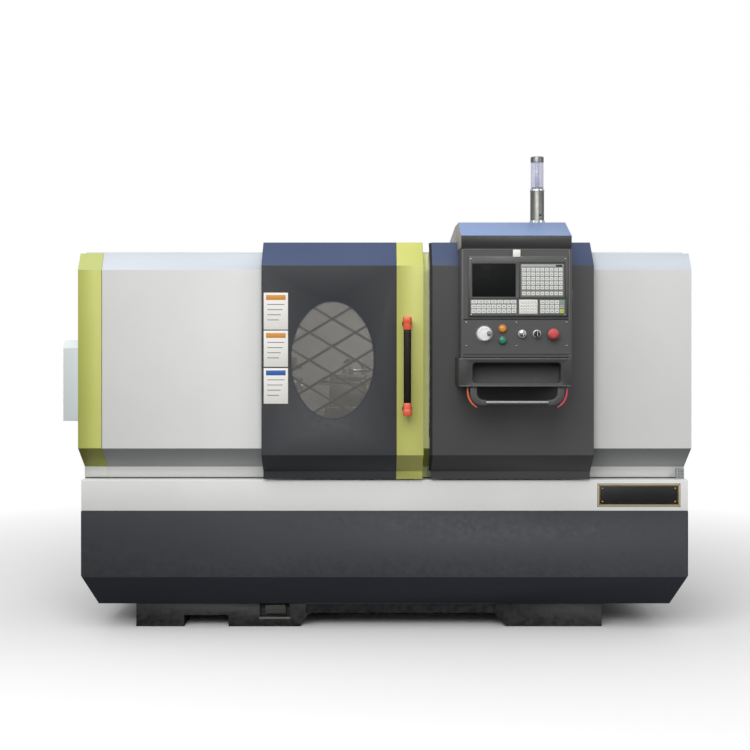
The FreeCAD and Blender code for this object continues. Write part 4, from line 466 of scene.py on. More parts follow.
# pale strips on edges: painted highlights
EDGE_HIGHLIGHT = Finish("edge_highlight", linear(118, 118, 117), 0.42)
SATIN_BAR = Finish("satin_bar", linear(150, 150, 150), 0.35, 0.6, texture=Texture.BRUSHED_X)
FIELD_GREY = Finish("field_grey", linear(132, 134, 130), 0.5, texture=Texture.MOULDED)
KEY_SAGE = Finish("key_sage", linear(134, 160, 134), 0.45, texture=Texture.MOULDED)
STOP_RED = Finish("stop_red", linear(204, 78, 80), 0.38, texture=Texture.MOULDED, coat=0.15)
AMBER_LENS = Finish("amber_lens", linear(222, 146, 48), 0.25, coat=0.5, texture=Texture.POLISHED)
GREEN_LENS = Finish("green_lens", linear(38, 134, 108), 0.25, coat=0.5, texture=Texture.POLISHED)
RING_SILVER = Finish("ring_silver", linear(208, 209, 210), 0.3, 0.35, texture=Texture.POLISHED)
DIAL_WHITE = Finish("dial_white", linear(236, 237, 238), 0.35, texture=Texture.POLISHED)
BLACK_PLASTIC = Finish("black_plastic", linear(34, 34, 35), 0.4, texture=Texture.MOULDED)
CARD_WHITE = Finish("card_white", linear(238, 236, 230), 0.5, wander=0.02, texture=Texture.POLISHED)
CARD_AMBER = Finish("card_amber", linear(214, 146, 60), 0.5, texture=Texture.POLISHED)
CARD_BLUE = Finish("card_blue", linear(44, 98, 172), 0.5, texture=Texture.POLISHED)
INK_GREY = Finish("ink_grey", linear(118, 118, 118), 0.6, texture=Texture.POLISHED)
KEY_PALE = Finish("key_pale", linear(218, 220, 216), 0.45, texture=Texture.MOULDED)
KEY_GREY = Finish("key_grey", linear(170, 172, 170), 0.45, texture=Texture.MOULDED)
KEY_LIME = Finish("key_lime", linear(200, 204, 60), 0.45, texture=Texture.MOULDED)
SCREEN_DARK = Finish(
    "screen_dark", linear(21, 22, 22), 0.55, specular=0.1, texture=Texture.POLISHED
)
PALE_GOLD = Finish("pale_gold", linear(232, 214, 168), 0.4, texture=Texture.POLISHED)
GOLD = Finish("gold", linear(196, 160, 84), 0.3, 1.0, texture=Texture.POLISHED)
BRASS = Finish("brass", linear(190, 156, 92), 0.32, 1.0, texture=Texture.POLISHED)
SWITCH_YELLOW = Finish("switch_yellow", linear(222, 190, 48), 0.4, texture=Texture.MOULDED)
WINDOW_SHEET = Finish(
    "window_sheet", linear(122, 119, 114), 0.3, coat=0.3, texture=Texture.POLISHED,
    wander=0.18, grime_and_shade=0.1, alpha=0.5,
)
BEACON_CLEAR = Finish(
    "beacon_clear", linear(200, 202, 232), 0.12, coat=0.6, texture=Texture.POLISHED, alpha=0.5
)
LAMP_CLEAR = Finish("lamp_clear", linear(226, 228, 224), 0.2, coat=0.3, texture=Texture.POLISHED)
BELT_RUBBER = Finish("belt_rubber", linear(34, 34, 34), 0.75, texture=Texture.MOULDED)


# ---------------------------------------------------------------------------
# Making a piece
# ---------------------------------------------------------------------------
def linked(name: str, data: bpy.types.ID) -> bpy.types.Object:
    """Makes an object in the scene.

    Args:
        name: its name.
        data: its mesh, light or camera.

    Returns:
        The object.
    """
    made = bpy.data.objects.new(name, data)
    bpy.context.scene.collection.objects.link(made)
    return made


# the angle from which an edge counts as sharp
SHARP = math.radians(32)

# how near two points are one: in millimetres in a piece, in metres in a CAD node
SAME_POINT = 1e-4
WELD_REACH = 1e-5

# how far along the axis an edge may run and still lie across it
LEVEL = 1e-6


@dataclass
class Piece:
    """One piece, gathered from simple solids before it becomes an object."""

    name: str
    body: str
    slot: str | None = None
    mesh: bmesh.types.BMesh = field(default_factory=bmesh.new)
    finishes: list[Finish] = field(default_factory=list)

    def take(self, part: bmesh.types.BMesh, finish: Finish) -> None:
        """Adds a solid in a finish.

        Args:
            part: the solid, which is used up.
            finish: what it is made of.
        """
        if finish not in self.finishes:
            self.finishes.append(finish)
        index = self.finishes.index(finish)
        bmesh.ops.recalc_face_normals(part, faces=part.faces[:])
        for face in part.faces:
            face.material_index = index
        carrier = bpy.data.meshes.new("carrier")
        part.to_mesh(carrier)
        part.free()
        self.mesh.from_mesh(carrier)
        bpy.data.meshes.remove(carrier)

    def block(
        self, low: Point, high: Point, finish: Finish, round_off: float = 1.0, steps: int = 2
    ) -> None:
        """A box between two corners with rounded edges.

        Args:
            low: its lowest corner.
            high: its highest corner.
            finish: what it is made of.
            round_off: how much its edges are rounded, 0 for none.
            steps: facets across a rounded edge.
        """
        part = bmesh.new()
        bmesh.ops.create_cube(part, size=1.0)
        size = Vector(high) - Vector(low)
        bmesh.ops.scale(part, vec=size, verts=part.verts[:])
        bmesh.ops.translate(part, vec=Vector(low) + size / 2, verts=part.verts[:])
        self.rounded(part, part.edges[:], min(round_off, min(size) * 0.45), steps)
        self.take(part, finish)

    def border(
        self, low: Point, high: Point, wide: float, finish: Finish, round_off: float
    ) -> None:
        """An upright rectangular frame: bars below, above, left and right.

        Args:
            low: its lowest corner.
            high: its highest corner.
            wide: how wide its bars are.
            finish: what it is made of.
            round_off: how much its edges are rounded.
        """
        (left, front, bottom), (right, back, top) = low, high
        for (x, z), (end_x, end_z) in (
            ((left, bottom), (right, bottom + wide)), ((left, top - wide), (right, top)),
            ((left, bottom), (left + wide, top)), ((right - wide, bottom), (right, top)),
        ):
            self.block((x, front, z), (end_x, back, end_z), finish, round_off)

    def rounded(
        self,
        part: bmesh.types.BMesh,
        edges: Sequence[bmesh.types.BMEdge],
        amount: float,
        steps: int,
    ) -> None:
        """Rounds some edges of a solid.

        Args:
            part: the solid.
            edges: which edges.
            amount: how far the rounding reaches.
            steps: facets across it.
        """
        if amount > 0:
            bmesh.ops.bevel(
                part, geom=list(edges), offset=amount, segments=steps, profile=0.5,
                affect="EDGES", material=-1,
            )

    def rod(
        self,
        start: Point,
        end: Point,
        radius: float,
        finish: Finish,
        end_radius: float | None = None,
        round_off: float = 0.0,
        sides: int = 32,
    ) -> None:
        """A round bar or cone from one point to another.

        Args:
            start: the middle of its first end.
            end: the middle of its other end.
            radius: its radius at the start.
            finish: what it is made of.
            end_radius: its radius at the end, if another.
            round_off: how much its rims are rounded.
            sides: facets round it.
        """
        part = bmesh.new()
        way = Vector(end) - Vector(start)
        bmesh.ops.create_cone(
            part, cap_ends=True, segments=sides, radius1=radius,
            radius2=radius if end_radius is None else end_radius, depth=way.length,
        )
        rims = [e for e in part.edges if e.calc_face_angle(0.0) > SHARP]
        self.rounded(part, rims, round_off, 3)
        self.aim(part, way, (Vector(start) + Vector(end)) / 2)
        self.take(part, finish)

    def aim(self, part: bmesh.types.BMesh, way: Vector, middle: Vector) -> None:
        """Turns a solid from +Z to a direction and moves it.

        Args:
            part: the solid.
            way: where its +Z goes.
            middle: where its origin goes.
        """
        turn = Vector((0, 0, 1)).rotation_difference(way).to_matrix().to_4x4()
        bmesh.ops.transform(part, matrix=Matrix.Translation(middle) @ turn, verts=part.verts[:])

    def turned(
        self,
        start: Point,
        way: Point,
        profile: Outline,
        finish: Finish,
        steps: int = 40,
    ) -> None:
        """A solid turned round an axis from a closed or axis-to-axis profile.

        Args:
            start: the axis's foot.
            way: the axis's direction.
            profile: (radius, distance along the axis) points.
            finish: what it is made of.
            steps: facets round it.
        """
        part = bmesh.new()
        verts = [part.verts.new((r, 0, h)) for r, h in profile]
        edges = [part.edges.new(pair) for pair in zip(verts, verts[1:])]
        if profile[0][0] > 0 and profile[-1][0] > 0:
            edges.append(part.edges.new((verts[-1], verts[0])))
        bmesh.ops.spin(
            part, geom=verts + edges, axis=(0, 0, 1), cent=(0, 0, 0), angle=math.tau,
            steps=steps, use_merge=True,
        )
        bmesh.ops.remove_doubles(part, verts=part.verts[:], dist=SAME_POINT)
        self.aim(part, Vector(way), Vector(start))
        self.take(part, finish)

    def swept(
        self, path: Sequence[Point], radius: float, finish: Finish, sides: int = 16
    ) -> None:
        """A round bar along a path of points.

        Args:
            path: the points of its middle line.
            radius: its radius.
            finish: what it is made of.
            sides: facets round it.
        """
        part = bmesh.new()
        points = [Vector(p) for p in path]
        before: list[bmesh.types.BMEdge] = []
        side = None
        for i, point in enumerate(points):
            ahead = points[min(i + 1, len(points) - 1)] - points[max(i - 1, 0)]
            ahead.normalize()
            if side is None:
                side = ahead.orthogonal().normalized()
            side = (side - ahead * side.dot(ahead)).normalized()
            basis = Matrix((side, ahead.cross(side), ahead)).transposed().to_4x4()
            loop = bmesh.ops.create_circle(
                part, cap_ends=i in (0, len(points) - 1), segments=sides, radius=radius,
                matrix=Matrix.Translation(point) @ basis,
            )["verts"]
            edges = list({e for v in loop for e in v.link_edges if e.other_vert(v) in loop})
            if before:
                bmesh.ops.bridge_loops(part, edges=before + edges)
            before = edges
        self.take(part, finish)

    def slab(
        self,
        outline: Outline,
        axis: str,
        low: float,
        high: float,
        finish: Finish,
        round_off: float = 0.0,
        round_all: bool = True,
    ) -> None:
        """A flat shape given a thickness along X, Y or Z.

        Args:
            outline: its corners, in the two other axes in X, Y, Z order.
            axis: the axis of its thickness.
            low: where it starts along the axis.
            high: where it ends.
            finish: what it is made of.
            round_off: how much its edges are rounded.
            round_all: whether the edges along the axis are rounded too.
        """
        index = "xyz".index(axis)
        rise = Vector([high - low if i == index else 0.0 for i in range(3)])
        part = bmesh.new()
        corners = [(*point[:index], low, *point[index:]) for point in outline]
        base = part.faces.new([part.verts.new(corner) for corner in corners])
        grown = bmesh.ops.extrude_face_region(part, geom=[base])["geom"]
        tops = [g for g in grown if isinstance(g, bmesh.types.BMVert)]
        bmesh.ops.translate(part, vec=rise, verts=tops)
        edges = [
            e for e in part.edges
            if e.calc_face_angle(0.0) > SHARP
            and (round_all or abs((e.verts[0].co - e.verts[1].co).dot(rise)) < LEVEL)
        ]
        self.rounded(part, edges, round_off, 2)
        self.take(part, finish)

    def build(self) -> bpy.types.Object:
        """Makes the object, in the frame's metres, and lets it ride on its body.

        Returns:
            The finished object.
        """
        for edge in self.mesh.edges:
            edge.smooth = edge.calc_face_angle(0.0) < SHARP
        for face in self.mesh.faces:
            face.smooth = True
        place = Matrix.Translation(ORIGIN) @ Matrix.Scale(MM, 4)
        bmesh.ops.transform(self.mesh, matrix=place, verts=self.mesh.verts[:])
        data = bpy.data.meshes.new(self.name)
        self.mesh.to_mesh(data)
        self.mesh.free()
        for finish in self.finishes:
            data.materials.append(finish.material())
        made = linked(self.name, data)
        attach(made, self.body)
        log.info("%s: %d faces on %s", self.name, len(data.polygons), self.body)
        return made


def dress(finish: Finish, *nodes: str, edge: float = 1.2) -> None:
    """Gives CAD nodes a finish and slightly rounded edges.

    Args:
        finish: what they are made of.
        *nodes: the CAD nodes' names.
        edge: how far the rounding reaches, in millimetres, 0 for none.
    """
    for name in nodes:
        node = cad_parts[name]
        node.data.materials.clear()
        node.data.materials.append(finish.material())
        if not edge:
            continue
        weld = node.modifiers.new("Weld", "WELD")
        weld.merge_threshold = WELD_REACH
        soft = node.modifiers.new("Edge", "BEVEL")
        soft.width = edge * MM
        soft.segments = 2
        soft.limit_method = "ANGLE"
        soft.angle_limit = SHARP
        soft.harden_normals = True
        for face in node.data.polygons:
            face.use_smooth = True
        log.info("%s: %s", name, finish.name)


def oval(half_x: float, half_z: float, steps: int = 72) -> Outline:
    """Points round an upright oval about the origin.

    Args:
        half_x: half its width.
        half_z: half its height.
        steps: how many points.

    Returns:
        The points as (x, z).
    """
    turns = [math.tau * i / steps for i in range(steps)]
    return [(half_x * math.cos(a), half_z * math.sin(a)) for a in turns]


def rounded_box(
    left: float, right: float, low: float, high: float, radius: float, steps: int = 6
) -> Outline:
    """The outline of a rectangle with round corners.

    Args:
        left: its left side.
        right: its right side.
        low: its bottom.
        high: its top.
        radius: the corners' radius.
        steps: facets in a corner.

    Returns:
        The outline's points.
    """
    corners = (
        (right - radius, high - radius, 0), (left + radius, high - radius, 90),
        (left + radius, low + radius, 180), (right - radius, low + radius, 270),
    )
    points = []
    for x, z, start in corners:
        for i in range(steps + 1):
            angle = math.radians(start + 90 * i / steps)
            points.append((x + radius * math.cos(angle), z + radius * math.sin(angle)))
    return points


def screw(piece: Piece, x: float, y: float, z: float, radius: float = 4.0) -> None:
    """A slotted screw on a face that looks forward.

    Args:
        piece: the piece it belongs to.
        x: its place across.
        y: the face it sits on.
        z: its height.
        radius: its head's radius.
    """
    profile = ((0, 2.2), (radius * 0.6, 1.9), (radius, 0.5), (radius, 0), (0, 0))
    piece.turned((x, y, z), (0, -1, 0), profile, CHROME, 16)
    low = (x - radius * 0.6, y - 2.4, z - 0.5)
    piece.block(low, (x + radius * 0.6, y - 1.9, z + 0.5), BLACK_PLASTIC, 0.1, 1)


def button_screw(
    piece: Piece, foot: Point, top: Point, radius: float = 7.0, sides: int = 20
) -> None:
    """A plain screw with a round head, between its foot and its top."""
    piece.rod(foot, top, radius, STAINLESS, round_off=1.2, sides=sides)


# ---------------------------------------------------------------------------
# Base
# ---------------------------------------------------------------------------
@dataclass
class Base:
    """Tub, tray band and pedestals, with the nameplate and the small parts low down."""

    end_x: float = 1199.0
    front: float = 55.0
    plate_left: float = 842.0
    plate_right: float = 1170.0
    plate_low: float = 514.0
    plate_high: float = 606.0
    jack_y: float = 235.0
    stud_columns: int = 7
    stud_rows: int = 3
    vent_left: float = 1165.0
    vent_right: float = 1193.0
    vent_y: float = 88.0
    vent_low: float = 620.0
    vent_high: float = 660.0
    vent_step: float = 6.0

    def build(self) -> None:
        """Dresses the base and adds its small parts."""
        dress(BASE_PAINT, "base_tub", edge=5.0)
        dress(LIT_TRAY_PAINT, "chip_tray", edge=2.5)
        dress(FOOT_PAINT, "left_pedestal", "right_pedestal", edge=3.0)
        self.nameplate()
        self.jack_plate()
        self.vent_block()
        self.fillet()
        self.seams()
        self.drain()

    def nameplate(self) -> None:
        """A blank black plate with a gold border and rivets on the tray band."""
        piece = Piece("nameplate", "machine")
        left, right, low, high = self.plate_left, self.plate_right, self.plate_low, self.plate_high
        y = self.front
        piece.block((left, y - 1.5, low), (right, y, high), BLACK_PLASTIC, 0.6)
        for inset, wide in ((1.5, 3.5), (8, 1.2)):
            piece.border(
                (left + inset, y - 2.1, low + inset), (right - inset, y - 1.2, high - inset),
                wide, PALE_GOLD, 0.2,
            )
        rivet = ((0, 2.6), (2.4, 1.8), (4, 0), (0, 0))
        for x in (left + 20, right - 20):
            for z in (low + 20, high - 20):
                piece.turned((x, y - 1.5, z), (0, -1, 0), rivet, GOLD, 20)
        piece.build()

    def jack_plate(self) -> None:
        """A tread plate with raised studs in the jacking pocket."""
        piece = Piece("jack_plate", "machine")
        y = self.jack_y
        piece.block((-488, y + 18, 48), (-404, y + 39, 84), STUD_PLATE, 1.5)
        for i in range(self.stud_columns):
            for j in range(self.stud_rows):
                x, z = -480 + i * 11.5, 54 + j * 11
                piece.block((x, y + 16, z), (x + 7, y + 18.5, z + 3.5), STUD_PLATE, 0.8)
        # the pale ledge along the pocket's bottom is a painted highlight
        piece.block((-512, y - 1.5, 30), (-384, y + 0.5, 38), EDGE_HIGHLIGHT, 0.8)
        piece.build()

    def vent_block(self) -> None:
        """A small perforated block at the right under the panels."""
        piece = Piece("vent_block", "machine")
        left, low, y = self.vent_left, self.vent_low, self.vent_y
        piece.block((left, y, low), (self.vent_right, y + 29, self.vent_high), GREY_PAINT, 1.5)
        for i in range(4):
            for j in range(6):
                x, z = left + 5 + i * self.vent_step, low + 5 + j * self.vent_step
                piece.rod((x, y - 0.6, z), (x, y + 0.6, z), 1.7, BLACK_PLASTIC, sides=10)
        piece.build()

    def fillet(self) -> None:
        """The rounded inner corner between the left pedestal and the cross beam."""
        piece = Piece("pedestal_fillet", "machine")
        x, z, wide, high = -321.0, 54.0, 30.0, 22.0
        turns = [math.radians(90 * i / 8) for i in range(9)]
        curve = [(x + wide * (1 - math.cos(a)), z - high * (1 - math.sin(a))) for a in turns]
        piece.slab(((x - 8, z), (x - 8, z - high), *curve), "y", 236, 959, FOOT_PAINT, 0.0)
        piece.build()

    def seams(self) -> None:
        """A rubber strip under the panels, and weld beads round the tub's front."""
        piece = Piece("tray_gasket", "machine", "belt_rubber")
        piece.block((-1196, 112, 620), (1164, 116.5, 624), BLACK_RUBBER, 1.0)
        piece.build()
        piece = Piece("weld_beads", "machine")
        for x in (-self.end_x, self.end_x):
            piece.swept(((x, 57, 240), (x, 57, 300), (x, 57, 496)), 2.2, BASE_PAINT, 8)
        piece.swept(((-1198, 56.5, 497), (0, 56.5, 497), (1198, 56.5, 497)), 1.6, BASE_PAINT, 8)
        piece.build()

    def drain(self) -> None:
        """A drain cock and a sight glass on the tub's left end."""
        piece = Piece("drain_cock", "machine")
        y, z = 420, 280
        piece.rod((-self.end_x, y, z), (-1216, y, z), 22, STAINLESS, round_off=2)
        piece.rod((-1216, y, z), (-1240, y, z), 13, BRASS, round_off=2)
        piece.rod((-1232, y, z), (-1232, y, z + 42), 5, BRASS, round_off=1)
        piece.block((-1236, y - 22, z + 38), (-1228, y + 22, z + 48), RED_PLASTIC, 3)
        y, z = 560, 380
        piece.rod((-self.end_x, y, z), (-1206, y, z), 26, CHROME, round_off=2)
        piece.rod((-1205, y, z), (-1208, y, z), 17, SCREEN_DARK, round_off=1)
        piece.build()


# ---------------------------------------------------------------------------
# Fixed enclosure
# ---------------------------------------------------------------------------
@dataclass
class Enclosure:
    """The fixed sheets, the end cover and what is screwed to them."""

    end_x: float = 1200.0
    rear: float = 1100.0
    roof: float = 1515.0
    louvre_step: float = 22.0
    cover_x: float = -1330.0
    seams_x: tuple[float, ...] = (-1107.0, -440.0, 560.0)
    cover_screws_y: tuple[float, ...] = (325, 575)
    cover_screws_z: tuple[float, ...] = (860, 1120)
    louvres_x: tuple[tuple[float, float], ...] = ((-1080, -860), (-820, -600))
    lids_x: tuple[tuple[float, float], ...] = ((-1050, -290), (-190, 570))
    lamp_y: float = 90.0
    lamp_z: float = 1478.0

    def build(self) -> None:
        """Dresses the fixed sheets and adds their small parts."""
        dress(WHITE_PAINT, "left_panel", "right_panel", "opening_frame", edge=1.6)
        dress(WHITE_PAINT, "rear_shell", "roof", edge=1.0)
        dress(TRIM_PAINT, "end_trim", edge=1.6)
        dress(LIT_POST_PAINT, "centre_post", edge=1.6)
        dress(LIT_COVER_PAINT, "end_cover", edge=1.6)
        dress(GREY_PAINT, "partition", edge=1.6)
        self.shadow_gaps()
        self.end_cover_screws()
        self.rear_parts()
        self.work_light()
        self.side_screws()
        self.roof_lids()

    def shadow_gaps(self) -> None:
        """Thin dark strips where the fixed sheets meet: painted shadow in the gaps."""
        piece = Piece("panel_gap_shadows", "machine", "belt_rubber")
        for x in self.seams_x:
            piece.block((x - 0.8, -0.6, 752), (x + 0.8, 1.5, 1446), BLACK_RUBBER, 0.3)
        piece.build()

    def end_cover_screws(self) -> None:
        """Screws, an inlet collar and cooling slots on the spindle's end cover."""
        piece = Piece("end_cover_parts", "machine")
        x = self.cover_x
        for z in self.cover_screws_z:
            for y in self.cover_screws_y:
                button_screw(piece, (x, y, z), (x - 3, y, z))
        collar = ((40, 0), (52, 0), (52, 3), (49, 6), (40, 6))
        piece.turned((x, AXIS_Y, AXIS_Z), (-1, 0, 0), collar, CHROME, 48)
        for i in range(5):
            z = 890 + i * 14
            piece.block((x - 0.6, 370, z), (x + 1, 530, z + 5), BLACK_PLASTIC, 0.5)
        piece.build()

    def louvres(self, piece: Piece, left: float, right: float, low: float, high: float) -> None:
        """Pressed louvres on the rear face.

        Args:
            piece: the piece they belong to.
            left: their left end.
            right: their right end.
            low: the lowest one.
            high: the top of the highest one.
        """
        for i in range(int((high - low) / self.louvre_step)):
            z = low + i * self.louvre_step
            outline = ((self.rear, z), (self.rear, z + 14), (self.rear + 7, z + 3))
            piece.slab(outline, "x", left, right, WHITE_PAINT, 1.0)
            start = (left + 3, self.rear + 0.4, z - 3)
            piece.block(start, (right - 3, self.rear + 1.6, z), BLACK_PLASTIC, 0.3)

    def rear_parts(self) -> None:
        """Louvres, a screwed service cover and a cable duct on the rear shell."""
        piece = Piece("rear_louvres", "machine", "white_paint")
        for left, right in self.louvres_x:
            self.louvres(piece, left, right, 980, 1200)
        piece.build()
        piece = Piece("service_cover", "machine", "white_paint")
        piece.block((-480, self.rear, 760), (60, self.rear + 4, 1400), WHITE_PAINT, 1.5)
        for x in (-455, -210, 35):
            for z in (785, 1080, 1375):
                button_screw(piece, (x, self.rear + 3, z), (x, self.rear + 7, z))
        piece.build()
        piece = Piece("cable_duct", "machine", "grey_paint")
        piece.block((250, self.rear, 640), (330, self.rear + 62, 690), GREY_PAINT, 2)
        y = self.rear + 32
        for x in (270, 310):
            piece.rod((x, y, 622), (x, y, 641), 12, BLACK_PLASTIC, round_off=2)
        piece.build()

    def side_screws(self) -> None:
        """Screws low and high on the enclosure's ends, clear of the end cover."""
        piece = Piece("shell_screws", "machine")
        for side, places in ((-1, (190, 790, 1060)), (1, (190, 500, 790, 1060))):
            for y in places:
                for z in (650, 1490):
                    x = self.end_x * side
                    button_screw(piece, (x, y, z), (x + 3 * side, y, z), 6, 16)
        piece.build()

    def roof_lids(self) -> None:
        """Two screwed lids on the roof, behind the sliding guard, and a lap joint."""
        piece = Piece("roof_lids", "machine", "white_paint")
        for left, right in self.lids_x:
            piece.block((left, 650, self.roof), (right, 1050, self.roof + 4), WHITE_PAINT, 1.5)
            for x in (left + 30, (left + right) / 2, right - 30):
                for y in (680, 1020):
                    button_screw(piece, (x, y, self.roof + 3), (x, y, self.roof + 7))
        piece.block((700, 120, self.roof), (760, 1090, self.roof + 2), WHITE_PAINT, 0.8)
        piece.build()

    def work_light(self) -> None:
        """A tube lamp under the lintel inside the work zone."""
        piece = Piece("work_light", "machine")
        y, z = self.lamp_y, self.lamp_z
        piece.rod((-380, y, z), (60, y, z), 20, LAMP_CLEAR, round_off=2)
        for start, end in ((-400, -376), (56, 80)):
            piece.rod((start, y, z), (end, y, z), 23, BLACK_PLASTIC, round_off=3)
        for x in (-388, 68):
            piece.block((x - 8, y - 6, z + 18), (x + 8, y + 6, z + 34), GREY_PAINT, 1)
        piece.build()


# ---------------------------------------------------------------------------
# Headstock and carriage
# ---------------------------------------------------------------------------
@dataclass
class Mechanism:
    """Bed, headstock with the main motor, carriage and tailstock."""

    long_screw_y: float = 235.0
    long_screw_z: float = 765.0
    ways_front: tuple[float, ...] = (292.0, 552.0)
    jaw_angles: tuple[float, ...] = (90, 210, 330)
    chuck_screw_circle: float = 74.0
    jaw_screw_circle: float = 77.0
    thread_start: float = -425.0
    thread_step: float = 10.7
    thread_rings: int = 118
    motor_left: float = -1010.0
    rib_step: float = 30.0
    wipers_x: tuple[float, ...] = (-297.0, -10.0)
    gibs_x: tuple[float, ...] = (-238.0, -66.0)
    hidden_thread: tuple[float, float] = (-236, -64)

    def build(self) -> None:
        """Dresses the mechanism and adds its small parts."""
        dress(CAST_PAINT, "bed", "headstock", "saddle", "cross_slide", "tailstock", edge=2.5)
        dress(GROUND_STEEL, "spindle_bearings", "spindle", "quill", "z_screw", "x_screw", edge=0.5)
        dress(TURNED_STEEL, "chuck", "spindle_pulley", "motor_rotor", edge=1.5)
        dress(GROUND_STEEL, "jaw_1", "jaw_2", "jaw_3", "turning_tools", edge=0.6)
        dress(MOTOR_ENAMEL, "main_motor", "z_servo", "x_servo", edge=3.0)
        dress(BELT_RUBBER, "drive_belt", edge=0.8)
        dress(TURNED_STEEL, "tool_post", edge=1.2)
        dress(CAST_PAINT, "hand_wheel", edge=1.0)
        self.ways()
        self.chuck_parts()
        self.motor_parts()
        self.carriage_parts()
        self.screw_thread()
        self.tailstock_parts()

    def ways(self) -> None:
        """Ground strips on top of the bed's ways."""
        piece = Piece("bed_ways", "machine", "steel")
        for y in self.ways_front:
            piece.block((-468, y, 809.6), (898, y + 56, 810.2), GROUND_STEEL, 0.2)
        piece.build()

    def chuck_parts(self) -> None:
        """Socket screws and a centre ring on the chuck, and the jaws' screws."""
        piece = Piece("chuck_screws", "spindle", "chuck_steel")
        y, z = AXIS_Y, AXIS_Z
        for i in range(3):
            angle = math.radians(30 + 120 * i)
            cy = y + self.chuck_screw_circle * math.cos(angle)
            cz = z + self.chuck_screw_circle * math.sin(angle)
            piece.rod((-396, cy, cz), (-393.5, cy, cz), 9, GROUND_STEEL, round_off=0.8, sides=24)
            piece.rod((-393.6, cy, cz), (-393.2, cy, cz), 5, BLACK_PLASTIC, sides=6)
        ring = ((26.3, -1), (29.4, -1), (29.4, 1.5), (28.4, 2.5), (26.3, 2.5))
        piece.turned((-395, y, z), (1, 0, 0), ring, TURNED_STEEL, 48)
        piece.build()
        for index, degrees in enumerate(self.jaw_angles, 1):
            angle = math.radians(degrees)
            out = Vector((0, math.cos(angle), math.sin(angle)))
            across = Vector((0, -math.sin(angle), math.cos(angle)))
            centre = Vector((-370, y, z)) + out * self.jaw_screw_circle
            piece = Piece(f"jaw_screw_{index}", f"jaw_{index}", "steel")
            for shift in (-8.0, 8.0):
                x, cy, cz = centre + across * shift
                piece.rod((x - 2, cy, cz), (x - 0.2, cy, cz), 6, BLACK_PLASTIC, sides=20)
            piece.build()

    def motor_parts(self) -> None:
        """Ribs, fan cowl and terminal box on the main motor, and the servos' caps."""
        piece = Piece("motor_ribs", "machine", "motor_black")
        for i in range(9):
            x = self.motor_left + i * self.rib_step
            piece.block((x, 722, 869), (x + 6, 938, 882), MOTOR_ENAMEL, 1)
            piece.block((x, 712, 652), (x + 6, 721, 868), MOTOR_ENAMEL, 1)
        piece.rod((-721, 830, 760), (-690, 830, 760), 104, MOTOR_ENAMEL, round_off=8, sides=48)
        piece.block((-940, 780, 881), (-840, 880, 925), MOTOR_ENAMEL, 4)
        piece.rod((-890, 770, 900), (-890, 781, 900), 14, STAINLESS, round_off=2)
        piece.build()
        piece = Piece("servo_caps", "machine", "motor_black")
        y, z = self.long_screw_y, self.long_screw_z
        piece.rod((1088, y, z), (1104, y, z), 46, MOTOR_ENAMEL, round_off=6, sides=40)
        piece.block((1020, y - 17, z + 53), (1060, y + 17, z + 77), BLACK_PLASTIC, 3)
        piece.build()
        piece = Piece("cross_servo_cap", "saddle", "motor_black")
        piece.rod((-150, 748, 832), (-150, 762, 832), 24, BLACK_PLASTIC, round_off=4)
        piece.build()

    def carriage_parts(self) -> None:
        """Way wipers, slide gibs and a coolant pipe on the carriage."""
        piece = Piece("way_wipers", "saddle", "belt_rubber")
        for x in self.wipers_x:
            for y in (285, 545):
                piece.block((x, y, 811.5), (x + 7, y + 70, 838), BLACK_RUBBER, 1)
        piece.build()
        piece = Piece("coolant_pipe", "cross_slide", "steel")
        bend = (-90, 472, 1062), (-118, 440, 1090), (-150, 400, 1086)
        piece.swept(((-78, 480, 901), (-78, 480, 1010), *bend), 7, BRASS, 12)
        piece.rod((-78, 480, 899), (-78, 480, 916), 13, BRASS, round_off=2, sides=6)
        piece.rod((-150, 400, 1086), (-166, 380, 1078), 9, BLACK_PLASTIC, 5, 1)
        piece.build()
        piece = Piece("slide_gibs", "cross_slide", "steel")
        for x in self.gibs_x:
            piece.block((x, 156, 868), (x + 4, 514, 894), GROUND_STEEL, 0.8)
        piece.build()

    def screw_thread(self) -> None:
        """The long ball screw's thread, as rings that stop where the nut hides them."""
        piece = Piece("long_thread", "z_screw", "steel")
        ridge = ((15.8, 0), (16.25, 1.5), (16.25, 4), (15.8, 5.5))
        first, last = self.hidden_thread
        for i in range(self.thread_rings):
            x = self.thread_start + i * self.thread_step
            if not first < x < last:
                place = (x, self.long_screw_y, self.long_screw_z)
                piece.turned(place, (1, 0, 0), ridge, GROUND_STEEL, 16)
        piece.build()

    def tailstock_parts(self) -> None:
        """A clamp lever and a lubrication cup on the tailstock."""
        piece = Piece("tailstock_lever", "tailstock", "steel")
        piece.rod((700, 385, 985), (700, 372, 985), 14, GROUND_STEEL, round_off=2)
        piece.swept(((700, 376, 985), (690, 360, 1010), (668, 346, 1062)), 6, GROUND_STEEL, 12)
        piece.rod((668, 346, 1060), (664, 344, 1080), 11, BLACK_PLASTIC, round_off=5)
        piece.rod((740, 450, 1072), (740, 450, 1084), 8, BRASS, round_off=2)
        piece.build()


